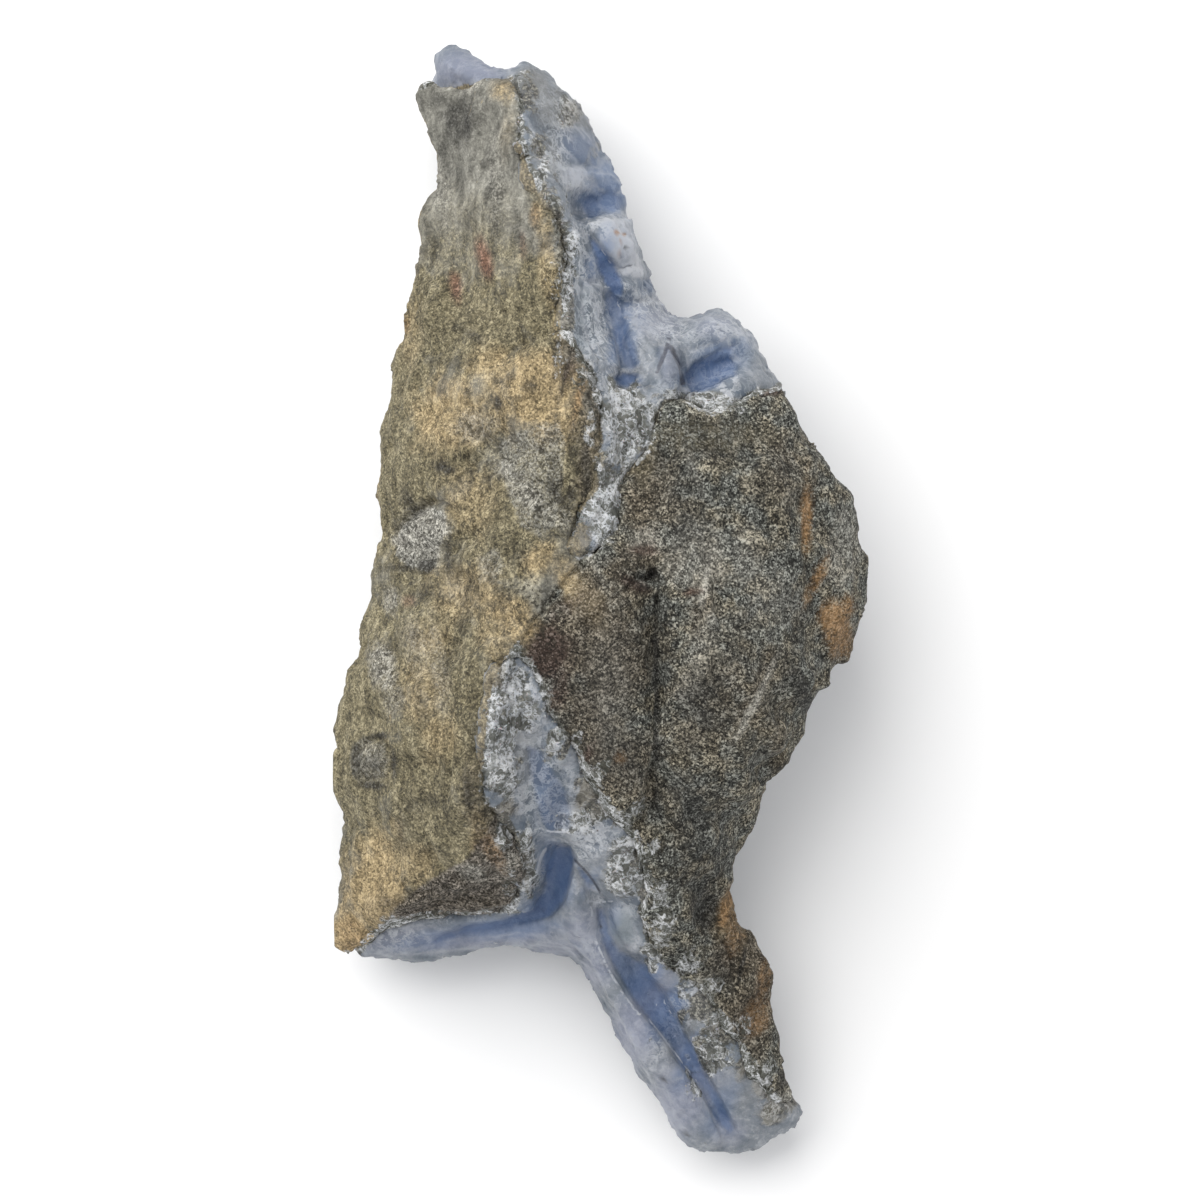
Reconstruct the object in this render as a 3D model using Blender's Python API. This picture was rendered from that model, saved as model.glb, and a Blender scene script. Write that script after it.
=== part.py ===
"""A rough piece of blue lace agate vein with the host rock still on its face.

It lies on its back: +Z points out of the face, +Y to the top tip, and the origin is the middle
of the box on the surface that the stone rests on. Two solids: the host rock, and the agate with
its crust of quartz, which fills the crack between the two blocks of rock and backs them.
"""

import math

import bmesh
import bpy
from mathutils import Vector, noise
from mathutils.geometry import delaunay_2d_cdt

# Driving sizes, in metres
MM = 0.001
LONGEST_REACH = 0.150  # from the top tip to the foot of the arm
THICKNESS = 0.042  # from the resting face to the highest ridge
CONTACT_GAP = 0.0004  # between rock and agate
WALL_LEAN = 0.0023  # how far the rock's broken walls lean in under its face
LIP = 0.0008  # how far the agate lies below the edge of the rock around it
BACK_ROUNDING = 0.0032  # width of the rounded edge around the back
RESTING_SINK = 0.0007  # how deep the back was broken flat
UNDERSIDE = -0.5  # faces that look down more than this lie against the agate
FACE_UP = 0.1  # faces that look up more than this show the marks
SOFTENING = 0.00025  # what the even mesh loses at the edges, given back all over
BAND_WIDTH = 0.0052  # between the steps that the bands broke into on the back
BAND_STEP = 0.0011
CRUST_END = 0.0055  # the quartz crust reaches this far from the rock
CRUST_FADE = 0.0030  # and fades out over this much of it

# Relief. Soft lumps have a size, a depth and a seed, and broken facets a size, a tilt and a seed.
ROCK_LUMPS = [(0.011, 0.0007, 3.1), (0.0032, 0.00035, 8.7)]
ROCK_CHIPS = [(0.007, 0.20, 1.3), (0.0035, 0.10, 2.7)]
UNDERSIDE_LUMPS = [(0.009, 0.0004, 3.1)]
AGATE_LUMPS = [(0.008, 0.0005, 5.2), (0.0028, 0.0003, 2.9)]
AGATE_CHIPS = [(0.005, 0.10, 4.4)]
CRUST_CHIPS = [(0.005, 0.16, 4.4), (0.0028, 0.22, 6.1)]
CRUST_ON_BACK = 0.3  # how much of the crust's roughness the back has
BAND_WANDER = (0.015, 0.004, 7.7)

# The stone was laid out on the photograph: the longest reach spans this many of its pixels,
# the middle of the stone is at this pixel, and the heights were judged for a stone 42 mm thick
REACH_IN_PIXELS = 1151.0
MIDDLE = (600.0, 600.0)
HEIGHT_UNIT = THICKNESS / 42.0  # one unit of height in the lists below, about a millimetre
PIXEL = LONGEST_REACH / REACH_IN_PIXELS

# Mesh sizes, in metres, and numbers of triangles
GRAIN = 0.0009  # size of the even mesh that the surface is roughened on
ROCK_TRIANGLES = 4200
AGATE_TRIANGLES = 3600

# Edge of the host rock, clockwise from the top: pixel x, pixel y, height of the edge, and height
# of the underside just inside it. It runs down the upper window in the rock to the pinch, round
# the right block, back up the lower window to the pinch, and up the left side.
UPPER_WINDOW = [
    (512, 80, 24, 13), (522, 110, 27, 13), (520, 145, 30, 13), (532, 180, 32, 14),
    (541, 202, 33, 14), (560, 217, 34, 14), (565, 250, 35, 14), (561, 290, 36, 14),
    (564, 340, 38, 14), (580, 365, 39, 14), (590, 388, 39.5, 14), (601, 420, 40, 14),
    (602, 450, 41, 14), (596, 472, 41, 14), (598, 492, 41.5, 14), (580, 517, 41.5, 14),
    (571, 545, 41.5, 14), (578, 560, 41, 14), (600, 552, 40, 14), (616, 530, 39, 14),
    (619, 510, 38.5, 14), (617, 490, 38, 14), (624, 473, 37.5, 14), (641, 459, 37, 14),
    (654, 440, 36, 14), (652, 418, 35, 14), (662, 402, 34.5, 14), (681, 401, 34, 14),
    (692, 411, 34, 14), (712, 419, 34, 14), (731, 408, 32.5, 14), (755, 399, 31, 13),
]
RIGHT_EDGE = [
    (779, 390, 28, 14), (792, 408, 27, 13), (804, 427, 26.5, 12), (819, 445, 26, 12),
    (827, 470, 25.5, 12), (845, 500, 24, 12), (857, 527, 23, 12), (869, 552, 21, 12),
    (868, 585, 20, 12), (866, 612, 20, 12), (850, 643, 21, 12), (835, 668, 22, 12),
    (818, 692, 22, 12), (798, 714, 22, 12), (788, 742, 22, 12), (779, 760, 21, 12),
    (766, 778, 20, 12), (759, 800, 19, 12), (755, 818, 19, 12), (743, 845, 18, 11),
    (732, 870, 17.5, 11), (725, 886, 17, 10), (730, 902, 16, 9), (740, 920, 14.5, 8),
    (753, 940, 13.5, 8), (765, 958, 12.5, 7.5), (773, 982, 11.5, 7), (778, 1005, 11, 7),
    (784, 1022, 10.5, 6.5), (783, 1038, 10.5, 6.5), (776, 1050, 10.5, 6.5),
    (784, 1068, 10.5, 6.5), (795, 1086, 10, 6.5), (803, 1104, 9.5, 6.5),
]
LOWER_WINDOW = [
    (788, 1108, 11, 7), (765, 1082, 13.5, 8), (746, 1052, 15, 8.5), (728, 1020, 16.5, 9),
    (700, 986, 18.5, 10), (666, 964, 20, 11), (650, 935, 22.5, 12), (645, 907, 25, 13),
    (655, 880, 27.5, 13), (641, 838, 31, 14), (626, 815, 32.5, 14), (601, 785, 34.5, 14),
    (580, 750, 36.5, 14), (565, 728, 38, 14), (553, 708, 39, 14), (546, 685, 40, 14),
    (536, 662, 40.5, 14), (521, 640, 41.5, 14), (508, 655, 42, 14), (498, 676, 42, 14),
    (492, 702, 41.5, 14), (488, 745, 40, 14), (482, 787, 38.5, 14), (492, 802, 37, 14),
    (507, 812, 35, 14), (521, 836, 32, 13), (526, 868, 27, 12), (520, 895, 22, 12),
    (500, 911, 18.5, 11), (470, 914, 17, 10), (440, 912, 16, 10), (412, 914, 15.5, 9),
    (386, 917, 14.5, 9), (373, 931, 12.5, 8), (354, 962, 10, 6.5),
]
LEFT_EDGE = [
    (327, 954, 9.5, 6.5), (333, 920, 10.5, 7), (342, 900, 11.5, 7.5), (346, 868, 13, 8),
    (346, 845, 13.5, 8), (346, 820, 14, 8), (338, 800, 14, 8), (334, 768, 14.5, 8),
    (340, 742, 15, 8), (346, 720, 15, 8), (350, 700, 15, 8), (355, 670, 15, 8),
    (361, 643, 15, 8), (373, 618, 15, 8), (378, 592, 15, 8), (379, 560, 15, 8),
    (380, 538, 15, 8), (384, 517, 15.5, 8), (377, 492, 15, 8), (382, 462, 14.5, 8),
    (386, 425, 14, 8), (393, 400, 14, 8), (394, 368, 14, 8), (402, 345, 14, 8),
    (404, 320, 14, 8), (410, 295, 14, 8), (413, 280, 14, 8), (421, 262, 14, 8),
    (427, 245, 14, 8), (428, 220, 14, 8), (432, 203, 14, 8), (440, 187, 14.5, 8.5),
    (444, 172, 15, 9), (447, 159, 15, 9), (440, 145, 14.5, 9), (432, 130, 14, 9),
    (425, 117, 13.5, 9), (415, 104, 13, 9), (411, 93, 13, 9), (415, 83, 13, 9),
    (432, 74, 14, 10), (450, 84, 17, 10), (472, 85, 19.5, 11), (492, 84, 22, 12),
]

# The rock's face inside its edge: pixel x, pixel y, height
LEFT_FACE = [
    (440, 100, 16.5), (462, 105, 19), (482, 110, 21.5), (504, 110, 25), (458, 133, 17.5),
    (478, 150, 21.5), (503, 160, 26.5), (455, 190, 18.5), (485, 195, 24), (515, 200, 29),
    (452, 235, 19), (488, 245, 25.5), (525, 240, 31), (442, 290, 20.5), (480, 295, 26.5),
    (522, 295, 32.5), (434, 350, 21), (478, 345, 29), (525, 350, 34.5), (424, 410, 22),
    (470, 405, 29.5), (530, 410, 36.5), (568, 420, 38.5), (412, 470, 21), (455, 480, 29),
    (515, 480, 36.5), (562, 480, 40), (408, 535, 20.5), (446, 545, 28), (498, 550, 35.5),
    (543, 550, 40), (400, 600, 21), (442, 610, 29.5), (492, 615, 37.5), (528, 612, 41),
    (383, 670, 20.5), (422, 680, 29), (462, 680, 36.5), (370, 735, 20.5), (408, 740, 28),
    (450, 740, 36), (368, 790, 19.5), (408, 800, 26.5), (448, 800, 33.5), (374, 850, 17.5),
    (410, 860, 23.5), (356, 905, 13), (374, 905, 15.5),
]
LEDGE_TOP = [
    (500, 822, 35.5), (480, 848, 32.5), (450, 868, 29), (420, 884, 25), (400, 898, 21.5),
    (384, 911, 16.5),
]
LEDGE_FOOT = [(505, 850, 30), (485, 880, 23), (455, 892, 19), (428, 901, 17)]
RIGHT_FACE = [
    (696, 440, 36), (740, 435, 34.5), (785, 440, 31), (640, 500, 38.5), (683, 495, 38.5),
    (730, 490, 37.5), (775, 490, 35), (812, 490, 31.5), (620, 562, 40.5), (652, 540, 39),
    (690, 545, 40), (745, 545, 37.5), (800, 545, 33.5), (838, 560, 27.5), (558, 625, 41.5),
    (600, 612, 40.5), (636, 610, 39.5), (656, 618, 37.5), (708, 620, 40), (735, 650, 39),
    (780, 615, 35.5), (828, 605, 29.5), (552, 672, 40), (600, 675, 40), (638, 675, 38.5),
    (656, 690, 36.5), (700, 680, 38), (752, 688, 37.5), (795, 680, 31.5), (578, 732, 38),
    (612, 740, 38), (656, 750, 34.5), (700, 740, 35.5), (748, 728, 34.5), (774, 735, 30.5),
    (612, 792, 35.5), (652, 800, 32), (700, 800, 32), (736, 790, 29), (648, 845, 31),
    (682, 850, 29), (716, 848, 24.5), (660, 888, 27.5), (688, 890, 25), (711, 886, 21),
    (668, 930, 23.5), (695, 930, 22), (722, 932, 19), (710, 978, 18.5), (745, 980, 16.5),
    (760, 1020, 14.5), (762, 1058, 14),
]
ROCK_UNDERSIDE = [
    (480, 150, 13), (485, 250, 13), (470, 350, 13), (530, 400, 14), (450, 500, 13),
    (520, 560, 14), (440, 650, 13), (420, 780, 12), (430, 860, 11), (700, 480, 14),
    (780, 520, 13), (640, 620, 14), (720, 640, 13), (800, 610, 12), (650, 740, 14),
    (720, 740, 12.5), (690, 830, 12.5), (700, 910, 11),
]

# Edge of the agate, clockwise from the top-left tip: pixel x, pixel y, height of the edge, and
# height of the back just inside it. Where the rock hides it, it runs a little inside the rock.
AGATE_EDGE = [
    (451, 36, 9, 3), (465, 47, 10, 3), (482, 60, 11.5, 3), (500, 71, 13, 3), (508, 76, 13.5, 3),
    (513, 74, 15, 4), (520, 62, 16, 4), (528, 55, 16.5, 4), (539, 61, 16.5, 4),
    (550, 78, 16, 4), (565, 88, 16, 4), (578, 102, 15.5, 4), (588, 119, 15.5, 4),
    (597, 135, 15.5, 4), (607, 152, 15.5, 4), (611, 168, 16, 4), (620, 181, 16, 4),
    (626, 196, 16, 4), (624, 217, 16.5, 4), (633, 236, 17, 4), (637, 262, 17, 4),
    (650, 280, 17.5, 5), (656, 294, 18, 5), (664, 312, 18.5, 5), (679, 322, 19, 6),
    (691, 325, 19, 6), (700, 317, 18.5, 6), (715, 310, 18, 6), (733, 318, 18, 6),
    (750, 336, 19, 6), (764, 355, 20, 6), (776, 376, 21, 6), (781, 394, 19, 5),
    (800, 438, 12, 5), (820, 490, 10, 4), (838, 540, 9, 4), (842, 590, 8.5, 4),
    (826, 640, 8, 4), (800, 682, 8, 3), (775, 716, 8, 3), (752, 770, 8, 3), (732, 820, 8, 3),
    (712, 868, 8, 3), (707, 892, 7.5, 3), (722, 925, 6.5, 2.5), (745, 960, 6, 2),
    (760, 1000, 5.5, 2), (764, 1040, 5.5, 2), (774, 1075, 5.5, 2), (790, 1100, 6.5, 2.5),
    (806, 1113, 6.5, 2.5), (800, 1126, 6, 2), (780, 1135, 6, 2), (760, 1147, 6, 2),
    (735, 1158, 6, 2), (719, 1153, 6, 2), (702, 1147, 6.5, 2), (688, 1139, 6.5, 2),
    (678, 1123, 7, 2), (672, 1108, 7, 2), (661, 1094, 7.5, 2), (645, 1078, 8, 2),
    (636, 1060, 8, 2), (625, 1042, 8.5, 2), (614, 1022, 8.5, 2), (606, 1003, 9, 2),
    (596, 984, 9.5, 2), (590, 969, 9.5, 2), (580, 955, 10, 2), (560, 949, 10.5, 2),
    (535, 946, 10.5, 2), (515, 942, 10.5, 2), (500, 945, 10.5, 2), (470, 952, 10, 2),
    (443, 955, 9.5, 2), (430, 960, 9, 2), (414, 962, 8.5, 2), (395, 958, 8, 2),
    (364, 957, 7, 2), (352, 938, 5.5, 1.5), (354, 900, 5.5, 1.5), (358, 860, 5.5, 1.5),
    (357, 822, 5.5, 1.5), (350, 790, 6, 1.5), (350, 762, 6, 1.5), (360, 715, 6, 1.5),
    (368, 675, 6, 1.5), (378, 640, 6, 1.5), (390, 600, 6, 1.5), (392, 550, 6, 1.5),
    (396, 512, 6, 1.5), (390, 490, 6, 1.5), (397, 445, 6, 1.5), (405, 400, 6, 1.5),
    (408, 365, 6, 1.5), (416, 325, 6, 1.5), (426, 285, 6, 1.5), (439, 250, 6.5, 1.5),
    (442, 215, 7, 2), (455, 185, 7, 2), (459, 160, 7, 2), (449, 135, 7, 2), (436, 110, 7, 2),
    (431, 94, 8, 3), (436, 76, 8.5, 3), (440, 62, 9, 3), (433, 53, 9, 3),
]

# The agate's face: pixel x, pixel y, height. The tips and the upper window come first, then the
# crest around the knob, the thin strip above the pinch, the lower window, the wing and the arm.
TOP_TIPS = [
    (455, 60, 13), (478, 72, 15.5), (498, 79, 17.5), (528, 74, 20.5), (540, 90, 22),
    (558, 108, 22), (576, 130, 20.5), (552, 150, 26), (572, 158, 23.5), (592, 152, 19.5),
]
UPPER_FACE = [
    (560, 190, 29), (586, 206, 22.5), (606, 212, 20), (576, 235, 30), (600, 240, 28),
    (620, 245, 24.5), (573, 290, 32.5), (592, 280, 30), (608, 300, 25.5), (630, 290, 26),
    (645, 302, 22), (577, 340, 35), (600, 340, 31.5), (621, 335, 27.5), (641, 332, 29),
    (660, 335, 25.5), (591, 370, 37), (614, 366, 33), (634, 378, 30), (655, 368, 32),
    (672, 372, 32), (612, 400, 37.5), (630, 400, 34.5), (645, 400, 34.5), (625, 430, 37),
    (613, 460, 38.5), (607, 490, 39), (601, 520, 39), (587, 545, 39.5),
]
CREST_FACE = [
    (690, 345, 26), (712, 328, 25), (730, 336, 25), (747, 352, 24.5), (688, 385, 27),
    (716, 368, 26), (742, 368, 25.5), (700, 398, 31), (728, 394, 30), (756, 386, 28.5),
]
LOWER_FACE = [
    (519, 662, 39.5), (520, 700, 38), (520, 740, 36), (550, 745, 35), (505, 765, 37),
    (540, 785, 32.5), (575, 785, 33.5), (510, 795, 35), (545, 820, 28.5), (580, 820, 30.5),
    (610, 835, 29.5), (540, 850, 26), (561, 848, 23.5), (590, 850, 28), (625, 860, 28),
    (553, 882, 20), (577, 880, 23.5), (606, 890, 22), (630, 895, 24), (532, 905, 17.5),
    (578, 912, 20), (608, 918, 18.5), (630, 920, 22), (545, 930, 15), (580, 938, 17),
    (500, 928, 15), (470, 926, 13.5), (440, 936, 13), (405, 936, 12.5), (380, 945, 11),
]
ARM_FACE = [
    (603, 958, 17), (622, 945, 17.5), (645, 958, 18), (618, 990, 16), (641, 975, 15),
    (665, 985, 17.5), (640, 1025, 15), (664, 1010, 13.5), (690, 1015, 16), (660, 1060, 13.5),
    (684, 1050, 12.5), (712, 1045, 15), (682, 1095, 12), (705, 1088, 11), (735, 1080, 14),
    (705, 1125, 10.5), (727, 1122, 9.5), (758, 1110, 11.5), (780, 1115, 11),
]
AGATE_UNDER_ROCK = [
    (460, 150, 13), (490, 180, 17), (470, 260, 17), (520, 300, 22), (450, 380, 18),
    (520, 420, 24), (440, 520, 18), (510, 560, 24), (430, 640, 19), (430, 760, 19),
    (400, 840, 16), (440, 880, 16), (700, 470, 23), (780, 500, 20), (650, 600, 24),
    (740, 620, 22), (800, 600, 18), (640, 720, 23), (710, 740, 20), (680, 820, 20),
    (690, 890, 16), (710, 940, 14), (750, 1010, 11),
]
AGATE_BACK = [
    (500, 130, 1), (560, 180, 1.5), (500, 230, -2), (570, 270, 1), (620, 360, 2.5),
    (480, 340, -1.5), (560, 400, 2), (700, 400, 2.5), (680, 470, 0), (770, 500, -2),
    (520, 500, 2.5), (460, 470, -2), (600, 560, 3.5), (790, 590, -2), (700, 600, 1.5),
    (440, 600, -2), (540, 640, 2.5), (640, 690, 0.5), (740, 690, -2), (420, 740, -2.5),
    (500, 740, -2.5), (580, 780, -2.5), (680, 800, -2), (400, 860, -2.5), (480, 880, -2.5),
    (580, 870, -2.5), (650, 890, -2), (680, 980, -1), (715, 1060, -0.5), (740, 1110, 0),
]

# Lines and spots that weathering and breaking left in the rock: a list of pixels, half width in
# millimetres, and depth in millimetres (negative where it stands proud)
ROCK_MARKS = [
    ([(656, 590), (652, 640), (660, 700), (655, 760), (650, 810)], 1.9, 1.3),
    ([(652, 572), (653, 576)], 1.7, 3.2),
    ([(650, 575), (634, 584), (618, 592)], 0.9, 0.9),
    ([(656, 578), (682, 590)], 0.8, 0.8),
    ([(645, 584), (638, 580)], 1.3, -0.8),
    ([(598, 548), (572, 575), (545, 612), (526, 636)], 1.1, 1.3),
    ([(690, 545), (700, 580), (708, 622)], 1.2, -0.8),
    ([(735, 650), (757, 700), (774, 738)], 1.2, -0.8),
    ([(720, 560), (722, 620), (716, 680)], 1.6, 0.7),
    ([(812, 490), (802, 545), (815, 590)], 1.0, 0.8),
    ([(670, 430), (690, 480), (700, 530)], 1.6, 0.7),
    ([(432, 500), (418, 514), (398, 530)], 1.2, 1.1),
    ([(365, 745), (382, 738), (396, 752), (386, 776), (368, 778)], 1.0, 0.9),
    ([(405, 520), (440, 530)], 2.2, -0.9),
    ([(430, 570), (432, 562)], 1.6, 1.0),
    ([(470, 330), (500, 320)], 2.0, 0.9),
    ([(385, 640), (400, 690)], 2.2, -0.7),
    ([(452, 105), (470, 135)], 2.4, 1.0),
    ([(575, 365), (588, 400), (592, 440)], 1.4, -0.7),
    ([(735, 950), (742, 985)], 0.9, 0.9),
    ([(700, 880), (706, 930)], 2.2, 1.4),
]

# Where the deep blue band broke out lower than its neighbours, and the crests beside it
AGATE_MARKS = [
    ([(582, 212), (600, 206)], 2.2, 2.2),
    ([(590, 245), (600, 275), (609, 300), (618, 335), (628, 365)], 1.9, 2.0),
    ([(624, 384), (640, 386)], 1.5, 1.6),
    ([(688, 388), (704, 378), (730, 362)], 2.4, 2.4),
    ([(565, 842), (556, 875), (545, 905)], 2.3, 1.8),
    ([(545, 905), (500, 922), (455, 930), (422, 945)], 1.4, 1.4),
    ([(578, 868), (602, 898), (618, 935), (642, 968)], 1.8, 1.5),
    ([(642, 968), (665, 1003), (684, 1045), (706, 1086), (728, 1125)], 1.7, 1.5),
    ([(600, 225), (622, 262), (634, 292)], 1.6, -0.8),
    ([(577, 885), (588, 925), (604, 958), (634, 1010), (668, 1070)], 1.5, -0.9),
    ([(672, 352), (666, 380)], 1.1, -1.6),
    ([(676, 362), (683, 384)], 0.7, 1.6),
    ([(552, 752), (545, 790), (556, 822)], 1.6, -1.2),
    ([(603, 520), (607, 526)], 1.9, -1.3),
]

# Where the quartz crust grew, and the line that the bands on the back run around
CRUST_LINES = [[p[:2] for p in UPPER_WINDOW], [p[:2] for p in LOWER_WINDOW]]
VEIN_HEART = [(520, 330), (545, 480), (610, 600), (600, 700)]


def spot(x, y, height):
    """The place of a pixel of the photograph on the stone, at a height in millimetres."""
    return Vector(((x - MIDDLE[0]) * PIXEL, (MIDDLE[1] - y) * PIXEL, height * HEIGHT_UNIT))


def inset(ring, distance):
    """The ring of pixels moved inwards by a distance in metres, each point at its own height."""
    count = len(ring)
    moved = []
    for i, (x, y, _, under) in enumerate(ring):
        before = Vector(ring[i - 1][:2])
        after = Vector(ring[(i + 1) % count][:2])
        along = (after - before).normalized()
        inward = Vector((-along.y, along.x))
        place = Vector((x, y)) + inward * (distance / PIXEL)
        moved.append((place.x, place.y, under))
    return moved


def side(ring, points):
    """Triangles of one side of a stone: its edge ring, and the points inside it."""
    flat = [Vector(p[:2]) for p in ring + points]
    count = len(ring)
    edges = [(i, (i + 1) % count) for i in range(count)]
    made = delaunay_2d_cdt(flat, edges, [list(range(count))], 1, 1e-5)
    places, _, faces, sources = made[0], made[1], made[2], made[3]
    heights = [p[2] for p in ring + points]
    solid = []
    for place, source in zip(places, sources):
        solid.append(spot(place.x, place.y, heights[source[0]] if source else 0.0))
    return solid, faces


def stone_mesh(name, ring, face_points, back_points):
    """A closed mesh from an edge ring and the points of its face and its back."""
    rim = [(x, y, edge) for x, y, edge, _ in ring]
    bm = bmesh.new()
    for points, looks_up in ((face_points, True), (back_points, False)):
        places, faces = side(rim, points)
        verts = [bm.verts.new(place) for place in places]
        for face in faces:
            made = bm.faces.new([verts[i] for i in face])
            made.normal_update()
            if (made.normal.z > 0.0) != looks_up:
                made.normal_flip()
    bmesh.ops.remove_doubles(bm, verts=bm.verts, dist=1e-6)
    mesh = bpy.data.meshes.new(name)
    bm.to_mesh(mesh)
    bm.free()
    return mesh


def evaluated(mesh, modifiers):
    """The mesh after a stack of modifiers, given as (type, settings) pairs."""
    obj = bpy.data.objects.new(mesh.name, mesh)
    bpy.context.scene.collection.objects.link(obj)
    for kind, settings in modifiers:
        modifier = obj.modifiers.new(kind, kind)
        for key, value in settings.items():
            setattr(modifier, key, value)
    graph = bpy.context.evaluated_depsgraph_get()
    result = bpy.data.meshes.new_from_object(obj.evaluated_get(graph))
    bpy.data.objects.remove(obj)
    return result


def even_mesh(mesh):
    """The same shape in an even mesh, its creases a little worn."""
    remesh = ("REMESH", {"mode": "VOXEL", "voxel_size": GRAIN})
    smooth = ("SMOOTH", {"factor": 0.5, "iterations": 2})
    return evaluated(mesh, [remesh, smooth])


def distance_to_line(point, line):
    """Distance in metres, seen from above, from a point to a line of pixels."""
    nearest = math.inf
    places = [spot(x, y, 0.0).xy for x, y in line]
    for start, end in zip(places, places[1:]):
        along = end - start
        share = (point.xy - start).dot(along) / max(along.length_squared, 1e-12)
        share = min(max(share, 0.0), 1.0)
        nearest = min(nearest, (point.xy - start - along * share).length)
    return nearest


def chips(point, size, tilt, seed):
    """Height of broken facets: each cell of the stone is a plane with a tilt of its own."""
    shifted = point / size + Vector((seed, 1.7 * seed, 2.3 * seed))
    _, centres = noise.voronoi(shifted)
    centre = centres[0]
    lean = 2.0 * noise.cell_vector(7.0 * centre) - Vector((1.0, 1.0, 1.0))
    return (shifted - centre).dot(lean) * tilt * size


def lump(point, size, depth, seed):
    """Height of soft lumps of about this size."""
    return noise.noise(point / size + Vector((seed, 0.0, -seed))) * depth


def broken_surface(point, lumps, facets):
    """Height of lumps and facets of several sizes, added up."""
    return sum(lump(point, *how) for how in lumps) + sum(chips(point, *how) for how in facets)


def marks_depth(point, marks):
    """How deep the marks cut at a point, all together."""
    depth = 0.0
    for line, half_width, most in marks:
        away = distance_to_line(point, line) / (half_width * MM)
        if away < 1.0:
            depth += most * MM * (1.0 - away * away) ** 2
    return depth


def rock_relief(point, normal):
    """How far the rock stands proud of its even shape at a point."""
    if normal.z < UNDERSIDE:
        return SOFTENING + broken_surface(point, UNDERSIDE_LUMPS, [])
    relief = SOFTENING + broken_surface(point, ROCK_LUMPS, ROCK_CHIPS)
    if normal.z > FACE_UP:
        relief -= marks_depth(point, ROCK_MARKS)
    return relief


def crust_share(point):
    """1 on the crust of quartz along the rock, falling to 0 on the banded agate."""
    away = min(distance_to_line(point, line) for line in CRUST_LINES)
    return min(max((CRUST_END - away) / CRUST_FADE, 0.0), 1.0)


def band_steps(point):
    """Low steps around the heart of the vein, where the back broke from band to band."""
    away = distance_to_line(point, VEIN_HEART) + lump(point, *BAND_WANDER)
    step = away / BAND_WIDTH
    return (step - math.floor(step) - 0.5) * BAND_STEP


def agate_relief(point, normal):
    """How far the agate stands proud of its even shape at a point."""
    crust = crust_share(point) if normal.z > 0.0 else CRUST_ON_BACK
    relief = SOFTENING + broken_surface(point, AGATE_LUMPS, AGATE_CHIPS)
    relief += crust * broken_surface(point, [], CRUST_CHIPS)
    if normal.z > 0.0:
        relief -= marks_depth(point, AGATE_MARKS)
    if normal.z < UNDERSIDE:
        relief += band_steps(point)
    return relief


def roughen(mesh, relief):
    """Moves each point of an even mesh along its normal by the relief there."""
    moves = [relief(v.co, v.normal) for v in mesh.vertices]
    normals = [v.normal.copy() for v in mesh.vertices]
    for vertex, move, normal in zip(mesh.vertices, moves, normals):
        vertex.co += normal * move


def break_flat(mesh):
    """The back is broken flat where it would reach below the resting face."""
    for vertex in mesh.vertices:
        vertex.co.z = max(vertex.co.z, -RESTING_SINK)


def thinned(mesh, triangles):
    """The mesh as about this many triangles, fewer where it is flat, and with no folds."""
    mesh = evaluated(mesh, [("REMESH", {"mode": "VOXEL", "voxel_size": GRAIN})])
    now = sum(len(p.vertices) - 2 for p in mesh.polygons)
    settings = {"ratio": triangles / now, "use_collapse_triangulate": True}
    return evaluated(mesh, [("DECIMATE", settings)])


def grown(mesh, distance):
    """A copy of the mesh with each point moved out along its normal."""
    copy = mesh.copy()
    normals = [v.normal.copy() for v in copy.vertices]
    for vertex, normal in zip(copy.vertices, normals):
        vertex.co += normal * distance
    return copy


def largest_body(mesh):
    """Keeps the largest connected body of a mesh, and drops crumbs that a cut left."""
    bm = bmesh.new()
    bm.from_mesh(mesh)
    bmesh.ops.triangulate(bm, faces=bm.faces)
    bmesh.ops.remove_doubles(bm, verts=bm.verts, dist=1e-6)
    left = set(bm.verts)
    bodies = []
    while left:
        body = {left.pop()}
        edge_of_body = list(body)
        while edge_of_body:
            vertex = edge_of_body.pop()
            for edge in vertex.link_edges:
                other = edge.other_vert(vertex)
                if other in left:
                    left.remove(other)
                    body.add(other)
                    edge_of_body.append(other)
        bodies.append(body)
    bodies.sort(key=len)
    crumbs = [v for body in bodies[:-1] for v in body]
    bmesh.ops.delete(bm, geom=crumbs, context="VERTS")
    bm.to_mesh(mesh)
    bm.free()


def finish_material(name, colour, roughness, metallic):
    material = bpy.data.materials.new(name)
    material.use_nodes = True
    shader = material.node_tree.nodes["Principled BSDF"]
    shader.inputs["Base Color"].default_value = (*colour, 1.0)
    shader.inputs["Roughness"].default_value = roughness
    shader.inputs["Metallic"].default_value = metallic
    material.diffuse_color = (*colour, 1.0)
    return material


def add_piece(name, mesh, material):
    mesh.name = name
    mesh.materials.clear()
    mesh.materials.append(material)
    obj = bpy.data.objects.new(name, mesh)
    bpy.context.scene.collection.objects.link(obj)
    return obj


def make_rock():
    """The two blocks of host rock, joined at the pinch."""
    ring = UPPER_WINDOW + RIGHT_EDGE + LOWER_WINDOW + LEFT_EDGE
    face = LEFT_FACE + LEDGE_TOP + LEDGE_FOOT + RIGHT_FACE
    underside = inset(ring, WALL_LEAN) + ROCK_UNDERSIDE
    mesh = even_mesh(stone_mesh("rock_shape", ring, face, underside))
    roughen(mesh, rock_relief)
    return thinned(mesh, ROCK_TRIANGLES)


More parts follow.
